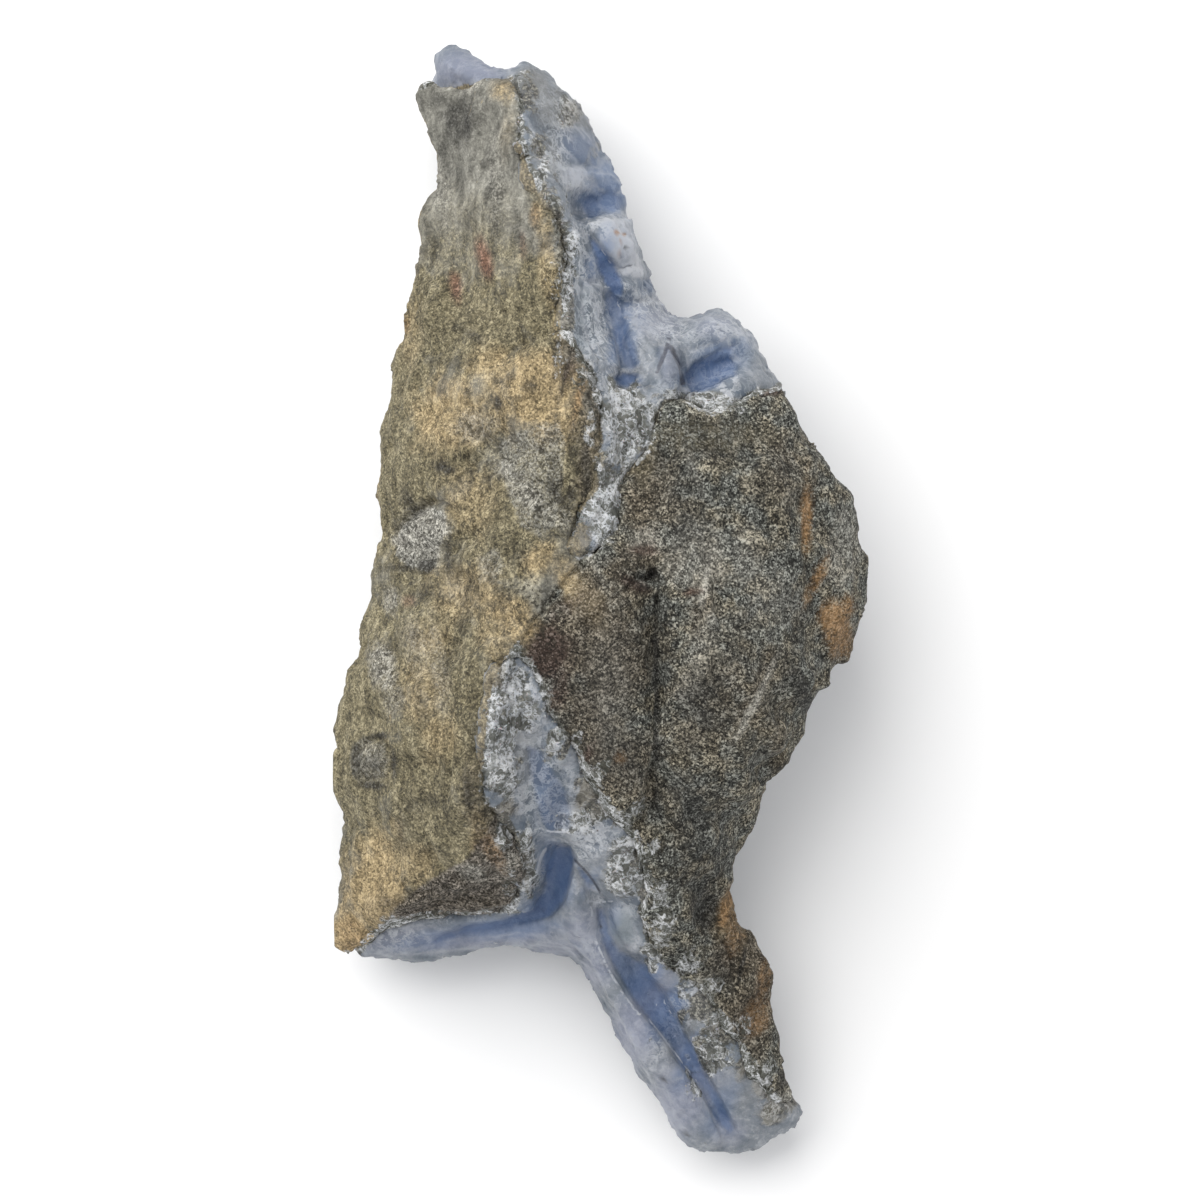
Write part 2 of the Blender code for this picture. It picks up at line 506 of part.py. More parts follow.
def window_rims():
    """Points of the agate's face along the windows: at the rock's edge, and on under the rock."""
    points = []
    lip = LIP / HEIGHT_UNIT
    for window in (UPPER_WINDOW, LOWER_WINDOW):
        hidden = inset(window, 0.4 * WALL_LEAN)[1:-1]
        for (x, y, edge, _), (hidden_x, hidden_y, _) in zip(window[1:-1], hidden):
            points.append((x, y, edge - lip))
            points.append((hidden_x, hidden_y, edge - 3.0 * lip))
    return points


def make_agate(rock):
    """The agate with its crust, cut by the rock that it grew against."""
    face = TOP_TIPS + UPPER_FACE + CREST_FACE + LOWER_FACE + ARM_FACE + AGATE_UNDER_ROCK
    face += window_rims()
    back = inset(AGATE_EDGE, BACK_ROUNDING) + AGATE_BACK
    mesh = even_mesh(stone_mesh("agate_shape", AGATE_EDGE, face, back))
    roughen(mesh, agate_relief)
    break_flat(mesh)
    mesh = thinned(mesh, AGATE_TRIANGLES)
    cutter = bpy.data.objects.new("rock_cutter", grown(rock, CONTACT_GAP))
    cutter.hide_render = True
    cutter.display_type = "WIRE"
    bpy.context.scene.collection.objects.link(cutter)
    cut = {"operation": "DIFFERENCE", "object": cutter, "solver": "EXACT", "use_self": True}
    mesh = evaluated(mesh, [("BOOLEAN", cut)])
    largest_body(mesh)
    bpy.data.objects.remove(cutter)
    return mesh


def stand_on_origin(pieces):
    """Moves all pieces together, so that the middle of their box stands on the origin."""
    points = [v.co for piece in pieces for v in piece.data.vertices]
    low = Vector([min(p[i] for p in points) for i in range(3)])
    high = Vector([max(p[i] for p in points) for i in range(3)])
    shift = Vector((-(low.x + high.x) / 2.0, -(low.y + high.y) / 2.0, -low.z))
    for piece in pieces:
        for vertex in piece.data.vertices:
            vertex.co += shift




def main():
    for obj in list(bpy.data.objects):
        bpy.data.objects.remove(obj)
    rock = make_rock()
    agate = make_agate(rock)
    grey_rock = finish_material("host_rock_grey", (0.20, 0.18, 0.15), 0.9, 0.0)
    blue_agate = finish_material("agate_blue", (0.42, 0.48, 0.66), 0.4, 0.0)
    pieces = [
        add_piece("host_rock", rock, grey_rock),
        add_piece("agate_vein", agate, blue_agate),
    ]
    stand_on_origin(pieces)


main()
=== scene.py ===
import math

import bmesh
import bpy
import numpy as np
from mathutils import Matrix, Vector, noise


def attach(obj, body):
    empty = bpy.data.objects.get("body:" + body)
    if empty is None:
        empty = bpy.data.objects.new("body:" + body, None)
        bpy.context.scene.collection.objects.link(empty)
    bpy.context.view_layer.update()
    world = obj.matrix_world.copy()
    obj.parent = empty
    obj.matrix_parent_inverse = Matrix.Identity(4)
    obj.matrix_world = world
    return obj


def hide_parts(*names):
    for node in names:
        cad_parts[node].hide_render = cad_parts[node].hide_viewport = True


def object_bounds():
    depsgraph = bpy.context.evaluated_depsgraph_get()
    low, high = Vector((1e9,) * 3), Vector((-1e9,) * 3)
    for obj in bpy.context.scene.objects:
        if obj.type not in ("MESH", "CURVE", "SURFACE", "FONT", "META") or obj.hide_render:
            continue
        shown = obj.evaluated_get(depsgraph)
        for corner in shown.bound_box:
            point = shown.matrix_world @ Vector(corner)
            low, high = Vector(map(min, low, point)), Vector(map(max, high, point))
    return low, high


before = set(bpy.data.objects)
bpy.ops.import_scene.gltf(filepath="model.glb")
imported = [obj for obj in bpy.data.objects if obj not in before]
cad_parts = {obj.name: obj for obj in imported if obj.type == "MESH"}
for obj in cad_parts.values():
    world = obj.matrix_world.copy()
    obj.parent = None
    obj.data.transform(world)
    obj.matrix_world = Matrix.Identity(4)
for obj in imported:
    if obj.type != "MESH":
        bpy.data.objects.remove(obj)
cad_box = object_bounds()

# The photograph that the finish was laid out on: the stone's box in its pixels
STONE_TOP = 42.0
STONE_BOTTOM = 1158.0
STONE_MIDDLE = (600.0, 600.0)
PIXEL = (cad_box[1].y - cad_box[0].y) / (STONE_BOTTOM - STONE_TOP)
FRAME_PIXELS = 1200.0
MM = 0.001

# Making of the fine meshes, in metres and in triangles unless a line says otherwise
FINE_STEP = 0.00034
FINEST_MESH = 190000
SAME_PLACE = 1e-6
ROUNDING = {"factor": 0.5, "iterations": 4}  # takes off the steps that the even mesh leaves
SEAM_GROWTH = 0.00024  # closes the gap that the solids keep between rock and agate
WIDE_WAVER = 0.004  # lumps of the noise that makes edges waver
NARROW_WAVER = 0.0015
CRUST_RISE = 0.0004  # brings the quartz crust up to the edge of the rock
CRUST_SPREAD = 1.1  # how far quartz lies on the agate along its seam with the rock, in millimetres
CRUST_ON_ROCK = 0.8  # how far it lies on the rock there
LACE_SLOPE = (0.16, 0.10, 0.9)  # the way up through the agate's bands, which lie almost flat
RESTING_BAND = 0.6  # above the floor, in millimetres, where the agate keeps its flat face
DEEP_SINK = 0.6  # how far the darkest bands lie sunk in the agate, in millimetres
DEEP_SLOPE = 0.5  # width of the slope down to them, in millimetres
FAR = 9.0  # from a band in millimetres or a crease in half widths, past which neither shows
EDGE_REACH = 5.0  # how far from the seam the materials need to know it, in millimetres
PATCH_EDGE = 1.35  # where a soft patch has faded out, in its own half widths
PATCH_WAVER = 0.35  # how far its edge wavers
QUARTZ_IOR = 1.54  # of quartz and chalcedony alike

# Edges of the rock where agate shows beside it, from the top down to the pinch and back up
UPPER_WINDOW = [
    (512, 80), (522, 110), (520, 145), (532, 180), (541, 202), (560, 217), (565, 250), (561, 290),
    (564, 340), (580, 365), (590, 388), (601, 420), (602, 450), (596, 472), (598, 492), (580, 517),
    (571, 545), (578, 560), (600, 552), (616, 530), (619, 510), (617, 490), (624, 473), (641, 459),
    (654, 440), (652, 418), (662, 402), (681, 401), (692, 411), (712, 419), (731, 408), (779, 390),
]
LOWER_WINDOW = [
    (788, 1108), (765, 1082), (746, 1052), (728, 1020), (700, 986), (666, 964), (650, 935),
    (645, 907), (655, 880), (641, 838), (626, 815), (601, 785), (580, 750), (565, 728), (553, 708),
    (546, 685), (536, 662), (521, 640), (508, 655), (498, 676), (492, 702), (488, 745), (482, 787),
    (492, 802), (507, 812), (521, 836), (526, 868), (520, 895), (500, 911), (440, 912), (386, 917),
    (373, 931), (354, 956),
]
# Corners beyond the stone that close those edges into the two areas of agate
UPPER_CORNERS = [(900, 390), (900, -50), (380, -50), (380, 90), (432, 87), (470, 84)]
LOWER_CORNERS = [(300, 956), (300, 1250), (900, 1250), (900, 1108)]
# The weathered left face of the rock, from the top along the ridge and back up the left edge
WEATHERED_FACE = [
    (430, 70), (512, 80), (524, 145), (545, 205), (563, 250), (562, 340), (598, 400), (603, 455),
    (598, 500), (588, 545), (560, 590), (530, 632), (505, 665), (494, 710), (488, 760), (496, 812),
    (470, 850), (420, 884), (398, 902), (376, 926), (354, 960), (310, 980), (300, 700), (340, 400),
    (380, 150),
]

# Soft patches on the rock: pixel x, pixel y, half width, half height, turn in degrees, strength
TAN_PATCHES = [
    (728, 915, 11, 32, -14, 0.7), (741, 930, 8, 20, -14, 0.6), (540, 398, 46, 44, 0, 0.95),
    (498, 372, 34, 20, -10, 0.6), (452, 418, 46, 40, 0, 0.7), (576, 590, 50, 14, -52, 0.6),
    (515, 618, 40, 20, -45, 0.7), (470, 500, 30, 40, 10, 0.35), (500, 640, 20, 40, 30, 0.4),
    (425, 690, 26, 40, 10, 0.4), (440, 735, 20, 30, 0, 0.45), (470, 590, 40, 30, 0, 0.5),
    (540, 560, 16, 24, -40, 0.6), (410, 330, 14, 40, 0, 0.3), (375, 890, 34, 62, -8, 1.0),
    (350, 935, 30, 30, 0, 1.0), (410, 862, 26, 22, 0, 0.5), (548, 262, 10, 60, 8, 0.35),
    (575, 410, 12, 50, -12, 0.5), (503, 96, 14, 14, 0, 0.5), (508, 140, 7, 30, -6, 0.15),
    (430, 640, 24, 24, 0, 0.45), (484, 840, 14, 34, 8, 0.6), (560, 330, 8, 40, 0, 0.4),
]
OLIVE_PATCHES = [
    (395, 470, 50, 150, 6, 1.0), (360, 720, 60, 180, 0, 1.0), (420, 320, 40, 60, 10, 1.0),
    (470, 330, 90, 60, 0, 1.0), (412, 370, 30, 80, 0, 1.0), (540, 320, 30, 70, 0, 1.0),
    (440, 450, 70, 60, 0, 1.0), (560, 470, 50, 70, 0, 1.0), (500, 540, 70, 70, 0, 1.0),
    (420, 580, 50, 60, 0, 0.7), (440, 650, 80, 70, 0, 1.0), (420, 760, 90, 80, 0, 1.0),
    (480, 720, 40, 100, 10, 1.0), (440, 840, 80, 60, 0, 1.0), (640, 450, 14, 34, 0, 0.7),
    (700, 440, 60, 16, 0, 0.3), (470, 262, 76, 44, 0, 0.5), (470, 230, 70, 40, 0, 0.25),
    (545, 200, 20, 50, 0, 0.5),
]
# Red streaks down the upper part of the weathered face
STREAK_PATCHES = [
    (485, 262, 8, 20, 14, 1.0), (457, 289, 7, 17, 8, 0.9), (524, 247, 4, 16, 5, 0.4),
    (411, 601, 8, 6, 0, 0.5), (690, 592, 10, 3, 10, 0.4), (645, 552, 14, 5, 0, 0.4),
]
BROWN_PATCHES = [
    (603, 640, 44, 80, 0, 0.8), (590, 720, 30, 60, 0, 0.7), (625, 770, 40, 40, 0, 0.5),
    (730, 700, 60, 60, 0, 0.35), (648, 500, 30, 50, 0, 0.6), (740, 940, 34, 60, 0, 0.9),
    # The second spot on the next line is painted shade along the foot of the left face's lower wall
    (790, 480, 30, 40, 0, 0.4), (440, 902, 70, 12, 0, 0.5), (590, 440, 14, 70, -5, 0.7),
    (570, 350, 12, 50, -20, 0.6), (600, 590, 40, 20, -40, 0.5), (750, 1010, 30, 50, 0, 0.8),
    (640, 560, 36, 16, 0, 0.7), (480, 800, 18, 50, 10, 0.5), (700, 600, 14, 60, -12, 0.5),
    (752, 690, 12, 60, -24, 0.6), (775, 740, 10, 40, 0, 0.5),
]
OCHRE_PATCHES = [
    (803, 520, 6, 40, -2, 0.8), (812, 582, 7, 26, -24, 0.9), (835, 628, 15, 32, 16, 1.0),
    (845, 606, 10, 12, 0, 0.8), (836, 648, 8, 14, 40, 0.6), (620, 755, 6, 5, 0, 0.7),
    (759, 1014, 15, 20, -15, 0.9), (726, 908, 7, 26, -14, 0.9), (350, 935, 18, 22, 0, 0.35),
    (496, 850, 8, 24, 24, 0.45), (762, 985, 8, 30, -10, 0.5), (405, 325, 5, 10, 0, 0.5),
    (536, 222, 6, 14, 0, 0.4), (735, 925, 10, 34, -12, 0.5), (580, 400, 5, 30, -14, 0.45),
    (655, 395, 10, 8, 0, 0.4),
]
RUST_PATCHES = [
    (636, 586, 22, 7, -24, 0.8), (545, 650, 18, 36, -20, 1.0), (552, 655, 16, 30, -20, 1.0),
    (560, 612, 10, 20, -40, 0.6), (775, 394, 22, 4, 12, 0.9), (584, 758, 4, 20, -28, 0.8),
    (572, 374, 6, 22, -20, 0.5), (690, 592, 14, 5, 10, 0.4), (645, 552, 14, 6, 0, 0.6),
    (480, 835, 8, 12, 0, 0.4), (560, 685, 12, 30, -20, 0.7), (640, 870, 10, 34, 0, 0.5),
]
# Paler grain on the rock, with painted highlight along the crests of two ridges on the right block
PALE_AND_HIGHLIGHT_PATCHES = [
    (424, 532, 26, 26, 10, 0.6), (400, 541, 9, 7, 0, 1.0), (444, 530, 12, 8, 0, 0.9),
    (384, 665, 14, 28, 12, 0.8), (842, 552, 19, 42, -6, 0.45), (784, 1108, 20, 12, 40, 0.8),
    (474, 868, 18, 10, -25, 0.9), (508, 858, 14, 14, 0, 0.6), (500, 856, 20, 24, 20, 0.3),
    # The first two spots on the next line are painted highlight along the crests of the right block's
    # ridges
    (703, 580, 4, 40, -10, 0.8), (752, 700, 4, 50, -26, 0.8), (690, 470, 5, 30, 20, 0.3),
    (532, 500, 26, 10, -50, 0.6), (440, 660, 10, 50, 10, 0.3), (392, 600, 8, 14, 0, 0.6),
    (640, 585, 8, 4, -20, 0.8), (497, 190, 10, 50, 0, 0.3), (472, 88, 14, 6, 0, 0.7),
    (440, 190, 10, 40, 10, 0.3), (590, 560, 26, 4, -50, 0.5), (690, 560, 40, 34, 0, 0.45),
    (770, 600, 30, 40, 0, 0.25), (700, 650, 16, 50, -20, 0.35), (610, 690, 20, 60, 0, 0.25),
    (428, 528, 22, 20, 10, 0.7), (436, 556, 10, 14, 0, 0.5), (372, 760, 18, 18, 0, 0.35),
    (650, 545, 20, 14, 0, 0.5), (745, 560, 20, 30, 0, 0.3), (420, 645, 16, 30, 10, 0.3),
    (476, 430, 20, 16, 0, 0.4), (505, 470, 16, 10, -30, 0.3), (395, 700, 12, 20, 0, 0.4),
    (560, 520, 16, 10, -40, 0.5), (700, 990, 10, 24, -30, 0.6),
]
# Dark grains and stains on the rock, with painted shade in two places: the line down the valley of the
# right block, and the strip along the foot of the left face's lower wall
DARK_AND_SHADE_PATCHES = [
    (757, 1014, 20, 34, -15, 0.4), (410, 640, 30, 10, 20, 0.25), (470, 610, 10, 40, -10, 0.25),
    (425, 700, 8, 30, 10, 0.35), (455, 660, 8, 30, -16, 0.3), (500, 590, 6, 30, 20, 0.35),
    (430, 800, 26, 8, 10, 0.3), (405, 830, 8, 26, 0, 0.3), (520, 560, 8, 18, -40, 0.3),
    (700, 700, 26, 44, -10, 0.5), (735, 640, 12, 50, -20, 0.35), (680, 510, 26, 50, 10, 0.45),
    (790, 620, 14, 50, 0, 0.35), (620, 650, 14, 50, 0, 0.3), (690, 810, 34, 46, 0, 0.55),
    (408, 500, 8, 20, 20, 0.5), (450, 560, 5, 20, 0, 0.7), (404, 568, 22, 5, 0, 0.6),
    (380, 735, 18, 4, 10, 0.8), (396, 762, 4, 18, 0, 0.8), (374, 784, 18, 4, 0, 0.8),
    (358, 762, 4, 16, 0, 0.6), (378, 762, 8, 8, 0, 0.6), (424, 595, 16, 4, 10, 0.5),
    (462, 575, 4, 16, 0, 0.4), (500, 385, 10, 4, -20, 0.5), (520, 402, 6, 4, 0, 0.5),
    (440, 392, 8, 4, 0, 0.5), (470, 396, 5, 4, 0, 0.6), (556, 420, 5, 5, 0, 0.6),
    (540, 452, 10, 5, -30, 0.6), (520, 478, 8, 4, -30, 0.5), (572, 500, 6, 14, 0, 0.7),
    (480, 735, 6, 30, 6, 0.5), (470, 785, 5, 24, 6, 0.5), (444, 845, 16, 5, -20, 0.2),
    (458, 122, 24, 28, 20, 0.7), (440, 100, 12, 14, 0, 0.5), (512, 381, 7, 5, 0, 0.6),
    (531, 391, 8, 6, 0, 0.6), (500, 407, 5, 8, 0, 0.7), (448, 470, 12, 6, -20, 0.9),
    (428, 566, 9, 7, 0, 1.0), (376, 765, 18, 14, 0, 0.3), (357, 755, 6, 12, 0, 0.7),
    # The first spot on the next line is painted shade down the valley of the right block, along its cut
    # groove
    (655, 696, 3, 112, 0, 0.9), (652, 574, 6, 8, 0, 1.0), (702, 905, 15, 30, 0, 0.8),
    (741, 968, 3, 22, -14, 0.9), (789, 1072, 7, 26, -25, 0.9), (805, 700, 9, 56, 28, 0.8),
    # The first spot on the next line is painted shade along the foot of the left face's lower wall
    (440, 905, 90, 9, 3, 0.15), (566, 380, 3, 40, -14, 0.8), (586, 470, 6, 30, 5, 0.6),
    (700, 860, 40, 40, 0, 0.35), (415, 516, 24, 4, 38, 0.3), (470, 336, 18, 5, -36, 0.5),
    (530, 340, 14, 4, -50, 0.5), (520, 645, 12, 8, 0, 0.5), (500, 818, 12, 30, 20, 0.3),
    (664, 640, 12, 60, 0, 0.4), (722, 965, 18, 40, 0, 0.45), (548, 655, 18, 26, -20, 1.0),
    (560, 500, 30, 8, -60, 0.5), (490, 440, 20, 6, -30, 0.5), (575, 450, 8, 36, 0, 0.4),
    (690, 500, 20, 50, 0, 0.35), (760, 470, 30, 40, 0, 0.3), (600, 680, 40, 60, 0, 0.35),
    (618, 745, 34, 40, 0, 0.5), (700, 448, 50, 28, 0, 0.5), (705, 1010, 18, 28, -30, 0.55),
    (450, 365, 26, 5, -10, 0.35), (398, 905, 14, 5, -30, 0.3),
]
# Where the face is broken by small dark pits
PITTED_PATCHES = [
    (530, 600, 30, 60, 30, 0.9), (500, 690, 12, 70, 0, 0.9), (460, 620, 30, 60, 0, 0.6),
    (420, 300, 30, 80, 0, 0.5), (400, 680, 30, 60, 0, 0.6), (470, 540, 20, 40, 0, 0.7),
    (560, 490, 46, 60, 0, 1.0), (585, 420, 20, 60, -8, 1.0), (560, 300, 14, 90, -5, 0.9),
    (500, 560, 50, 60, 0, 0.6), (470, 700, 50, 60, 0, 0.6), (410, 540, 34, 60, 0, 0.7),
    (490, 830, 30, 50, 20, 0.9), (440, 790, 50, 60, 0, 0.5), (480, 460, 60, 50, 0, 0.6),
    (440, 880, 70, 20, 0, 0.8), (545, 200, 14, 60, -10, 0.6), (640, 570, 50, 30, 0, 0.7),
    (720, 960, 60, 60, 0, 0.7), (640, 480, 30, 50, 0, 0.5), (650, 860, 40, 60, 0, 0.6),
    (520, 410, 40, 30, 0, 0.4), (480, 330, 60, 30, 0, 0.4), (375, 760, 30, 40, 0, 0.5),
]

# Faces of the weathered side where the stone lies bare and grey: outline in pixels, strength
BARE_FACES = [
    ([(397, 541), (404, 526), (418, 515), (433, 508), (446, 511), (447, 530), (442, 548), (437, 566),
      (424, 571), (408, 566), (398, 556)], 0.9),
    ([(500, 447), (516, 436), (540, 428), (560, 426), (566, 450), (563, 490), (556, 528), (540, 540),
      (522, 528), (513, 505), (506, 478)], 0.5),
    ([(356, 742), (370, 737), (386, 743), (391, 757), (386, 773), (372, 783), (358, 778),
      (350, 760)], 0.35),
    ([(480, 560), (498, 548), (508, 566), (496, 584), (482, 580)], 0.4),
]
# The broken ledge under the left face, grey-brown and crumbly
CRUMBLY_FACES = [
    ([(380, 930), (398, 904), (421, 886), (448, 868), (470, 852), (486, 832), (497, 812), (512, 808),
      (526, 836), (530, 868), (524, 898), (500, 916), (440, 918)], 0.9),
]

# Broken surface of the rock: kind, height in millimetres, size in metres, seed
ROCK_RELIEF = [
    ("ridges", 0.18, 0.0052, 20.0), ("lumps", 0.16, 0.0022, 21.0), ("lumps", 0.16, 0.0010, 22.0),
    ("facets", 0.34, 0.0075, 3.0), ("facets", 0.14, 0.0020, 4.0),
]
PIT_DEPTH = 0.35  # in millimetres

# Lines cut into the rock and lines raised on it: pixels, half width and height in millimetres
ROCK_LINES = [
    ([(598, 548), (584, 566), (572, 575), (560, 592), (545, 612), (534, 628), (524, 640)], 0.7, -0.8),
    ([(651, 575), (642, 580), (630, 585), (618, 593), (610, 600)], 0.5, -0.6),
    ([(655, 578), (668, 584), (684, 590)], 0.5, -0.5),
    ([(432, 500), (420, 512), (408, 518), (396, 531)], 0.7, -0.4),
    ([(446, 505), (462, 520), (458, 548), (442, 572)], 0.6, -0.4),
    ([(656, 596), (652, 640), (659, 690), (654, 760), (650, 808)], 0.45, -0.8),
    ([(404, 520), (420, 510), (436, 503), (452, 508)], 0.45, -0.6),
    ([(576, 738), (584, 752), (592, 770)], 0.4, -0.5),
    ([(735, 948), (739, 965), (746, 984)], 0.4, -0.6),
    ([(724, 940), (730, 960), (735, 975)], 0.4, -0.5),
    ([(368, 742), (384, 737), (397, 752), (388, 776), (366, 779), (358, 764)], 0.6, -0.6),
    ([(455, 420), (470, 450), (462, 480)], 0.5, -0.4),
    ([(812, 492), (803, 545), (814, 592)], 0.7, -0.5),
    ([(440, 690), (455, 740), (446, 800)], 0.6, -0.4),
    ([(560, 350), (572, 385), (586, 420)], 0.6, -0.6),
    ([(500, 300), (470, 330), (440, 352)], 0.6, -0.35),
    ([(560, 310), (530, 345), (500, 362)], 0.6, -0.35),
    ([(590, 460), (560, 490), (530, 540), (520, 580)], 0.7, -0.4),
    ([(398, 902), (440, 884), (480, 862), (510, 842)], 0.6, -0.5),
    ([(690, 545), (700, 575), (708, 620)], 0.8, 0.5),
    ([(708, 620), (735, 650), (758, 700), (775, 740)], 0.9, 0.5),
    ([(755, 600), (762, 650), (785, 700)], 1.0, 0.4),
    ([(655, 590), (690, 650), (735, 720), (740, 780)], 3.2, 0.8),
    ([(606, 570), (606, 640), (604, 740), (630, 800)], 4.2, 0.9),
    ([(656, 600), (655, 690), (652, 800), (664, 860)], 2.2, -0.5),
    ([(700, 480), (720, 540), (730, 580)], 3.6, 0.6),
    ([(668, 450), (660, 520)], 1.6, -0.5),
    ([(798, 500), (806, 560), (816, 620)], 1.8, -0.5),
    ([(562, 330), (585, 400), (600, 460)], 1.4, 0.5),
    ([(525, 100), (545, 200), (560, 300)], 2.0, 0.5),
    ([(600, 462), (596, 530), (560, 600), (520, 640)], 1.6, 0.5),
    ([(420, 200), (440, 260), (430, 330)], 3.0, 0.5),
    ([(460, 130), (490, 200), (500, 280)], 3.2, 0.5),
    ([(440, 380), (480, 400), (520, 440)], 3.2, 0.6),
    ([(470, 560), (500, 600), (480, 660)], 3.4, 0.6),
    ([(410, 620), (430, 680), (410, 740)], 3.2, 0.6),
    ([(400, 800), (430, 840), (400, 880)], 3.2, 0.5),
    ([(400, 545), (430, 560), (470, 540)], 2.0, -0.5),
    ([(450, 640), (462, 700), (440, 760)], 1.8, -0.5),
    ([(480, 470), (500, 520), (560, 540)], 1.6, -0.4),
    ([(476, 826), (500, 812), (512, 800)], 0.8, 0.6),
    ([(470, 868), (494, 850), (506, 836)], 0.8, 0.7),
    ([(430, 884), (462, 880), (486, 872)], 0.7, 0.5),
    ([(720, 900), (736, 940), (752, 990), (768, 1030)], 1.4, 0.6),
]

# Broken surface of the agate: kind, size in metres, seed, and heights in millimetres where it is
# lively, on its crust and around its edge
AGATE_RELIEF = [
    ("lumps", 0.0022, 41.0, 0.08, 0.0, 0.20), ("lumps", 0.0010, 42.0, 0.03, 0.10, 0.22),
    ("facets", 0.0022, 5.0, 0.14, 0.14, 0.22), ("facets", 0.0011, 6.0, 0.03, 0.16, 0.0),
]

# Where the darkest bands of the agate lie open: outline in pixels, strength
DEEP_BANDS = [
    ([(582, 200), (592, 196), (600, 200), (603, 212), (598, 221), (588, 223), (581, 214)], 0.5),
    ([(598, 194), (612, 190), (624, 198), (626, 212), (606, 218), (600, 210)], 0.35),
    ([(587, 236), (597, 245), (608, 257), (618, 271), (625, 288), (623, 302), (611, 300), (602, 286),
      (596, 270), (591, 252)], 0.92),
    ([(603, 290), (618, 296), (625, 314), (630, 334), (637, 352), (642, 368), (632, 375), (620, 371),
      (615, 348), (610, 328), (604, 308)], 0.5),
    ([(612, 380), (622, 374), (640, 377), (634, 386), (626, 394), (617, 390)], 0.8),
    ([(683, 375), (692, 364), (705, 358), (720, 349), (736, 345), (731, 360), (738, 369), (734, 380),
      (722, 384), (715, 392), (703, 396), (689, 397), (684, 386)], 0.6),
    ([(556, 842), (572, 842), (577, 855), (573, 880), (566, 900), (552, 917), (530, 924), (500, 930),
      (505, 917), (532, 907), (542, 890), (547, 862)], 0.78),
    ([(530, 924), (500, 930), (470, 936), (440, 944), (424, 948), (440, 935), (470, 924), (505, 917),
      (530, 908), (540, 914)], 0.6),
    ([(574, 857), (583, 865), (593, 878), (600, 891), (592, 888), (580, 875)], 0.7),
    ([(595, 905), (605, 906), (610, 930), (620, 948), (637, 958), (646, 966), (656, 979), (666, 994),
      (668, 1004), (674, 1014), (683, 1026), (692, 1042), (704, 1068), (717, 1090), (730, 1114),
      (736, 1130), (729, 1140), (720, 1128), (711, 1106), (698, 1086), (684, 1068), (668, 1046),
      (654, 1026), (640, 1010), (627, 990), (612, 966), (601, 942)], 0.6),
    ([(668, 1042), (684, 1062), (700, 1080), (714, 1104), (722, 1126), (714, 1118), (702, 1094),
      (688, 1075), (672, 1054)], 0.6),
    ([(655, 975), (663, 987), (666, 996), (660, 990), (650, 975)], 0.7),
    ([(526, 740), (540, 744), (552, 762), (566, 784), (573, 808), (573, 828), (548, 830), (536, 804),
      (530, 772)], 0.35),
]
# Soft patches on the agate, in the same form as those on the rock
BLUE_PATCHES = [
    (604, 236, 6, 14, -30, 0.4), (620, 335, 10, 40, -14, 0.8), (720, 362, 34, 22, 24, 0.7),
    (610, 196, 26, 20, 0, 0.9), (582, 150, 24, 20, -20, 0.6), (606, 172, 20, 14, 0, 0.8),
    (600, 204, 26, 15, 0, 0.95), (602, 170, 24, 16, -30, 0.45), (600, 262, 12, 28, -26, 0.8),
    (613, 312, 10, 26, -8, 0.6), (628, 350, 12, 26, -8, 0.5), (630, 384, 14, 7, 0, 0.8),
    (706, 374, 32, 16, 28, 0.95), (738, 350, 22, 12, 30, 0.45), (556, 868, 16, 36, 16, 1.0),
    (540, 905, 26, 14, 30, 0.8), (548, 800, 12, 34, 0, 0.3), (500, 928, 60, 13, 4, 0.85),
    (430, 940, 44, 10, 10, 0.6), (590, 880, 6, 20, -32, 0.5), (610, 920, 10, 24, -20, 0.5),
    (645, 975, 14, 28, -38, 0.8), (668, 1010, 15, 34, -26, 0.85), (690, 1060, 12, 40, -26, 0.7),
    (722, 1110, 14, 36, -26, 0.55), (648, 288, 10, 13, 0, 0.4), (640, 320, 8, 16, 0, 0.2),
]
TEAL_PATCHES = [
    (583, 328, 16, 44, 0, 0.9), (580, 262, 10, 26, 0, 0.6), (540, 780, 13, 40, 0, 0.8),
    (622, 925, 15, 24, -20, 1.0), (740, 362, 22, 12, 30, 0.5), (520, 700, 14, 20, 0, 0.3),
    (590, 400, 12, 14, 0, 0.4), (546, 790, 14, 44, 0, 1.0), (560, 760, 8, 24, -20, 0.6),
]
LAVENDER_PATCHES = [
    (620, 248, 17, 34, -14, 0.9), (645, 325, 16, 16, -30, 0.4), (575, 180, 12, 10, 0, 0.8),
    (712, 326, 16, 8, 0, 0.3), (575, 822, 12, 8, 20, 0.4),
]
# The blue-grey lilac of the smooth slabs
LILAC_PATCHES = [
    (636, 1030, 28, 90, -28, 1.0), (680, 1100, 34, 60, -28, 1.0), (600, 960, 18, 40, -20, 0.9),
    (585, 930, 24, 28, 0, 0.8), (480, 938, 90, 14, 4, 1.0), (400, 940, 44, 16, 8, 0.7),
    (728, 1132, 20, 18, 0, 0.7), (465, 72, 44, 26, 0, 0.9), (655, 322, 28, 24, -20, 0.6),
    (712, 328, 24, 14, 0, 0.6), (668, 366, 12, 22, 0, 0.6), (560, 948, 40, 12, 0, 0.8),
]
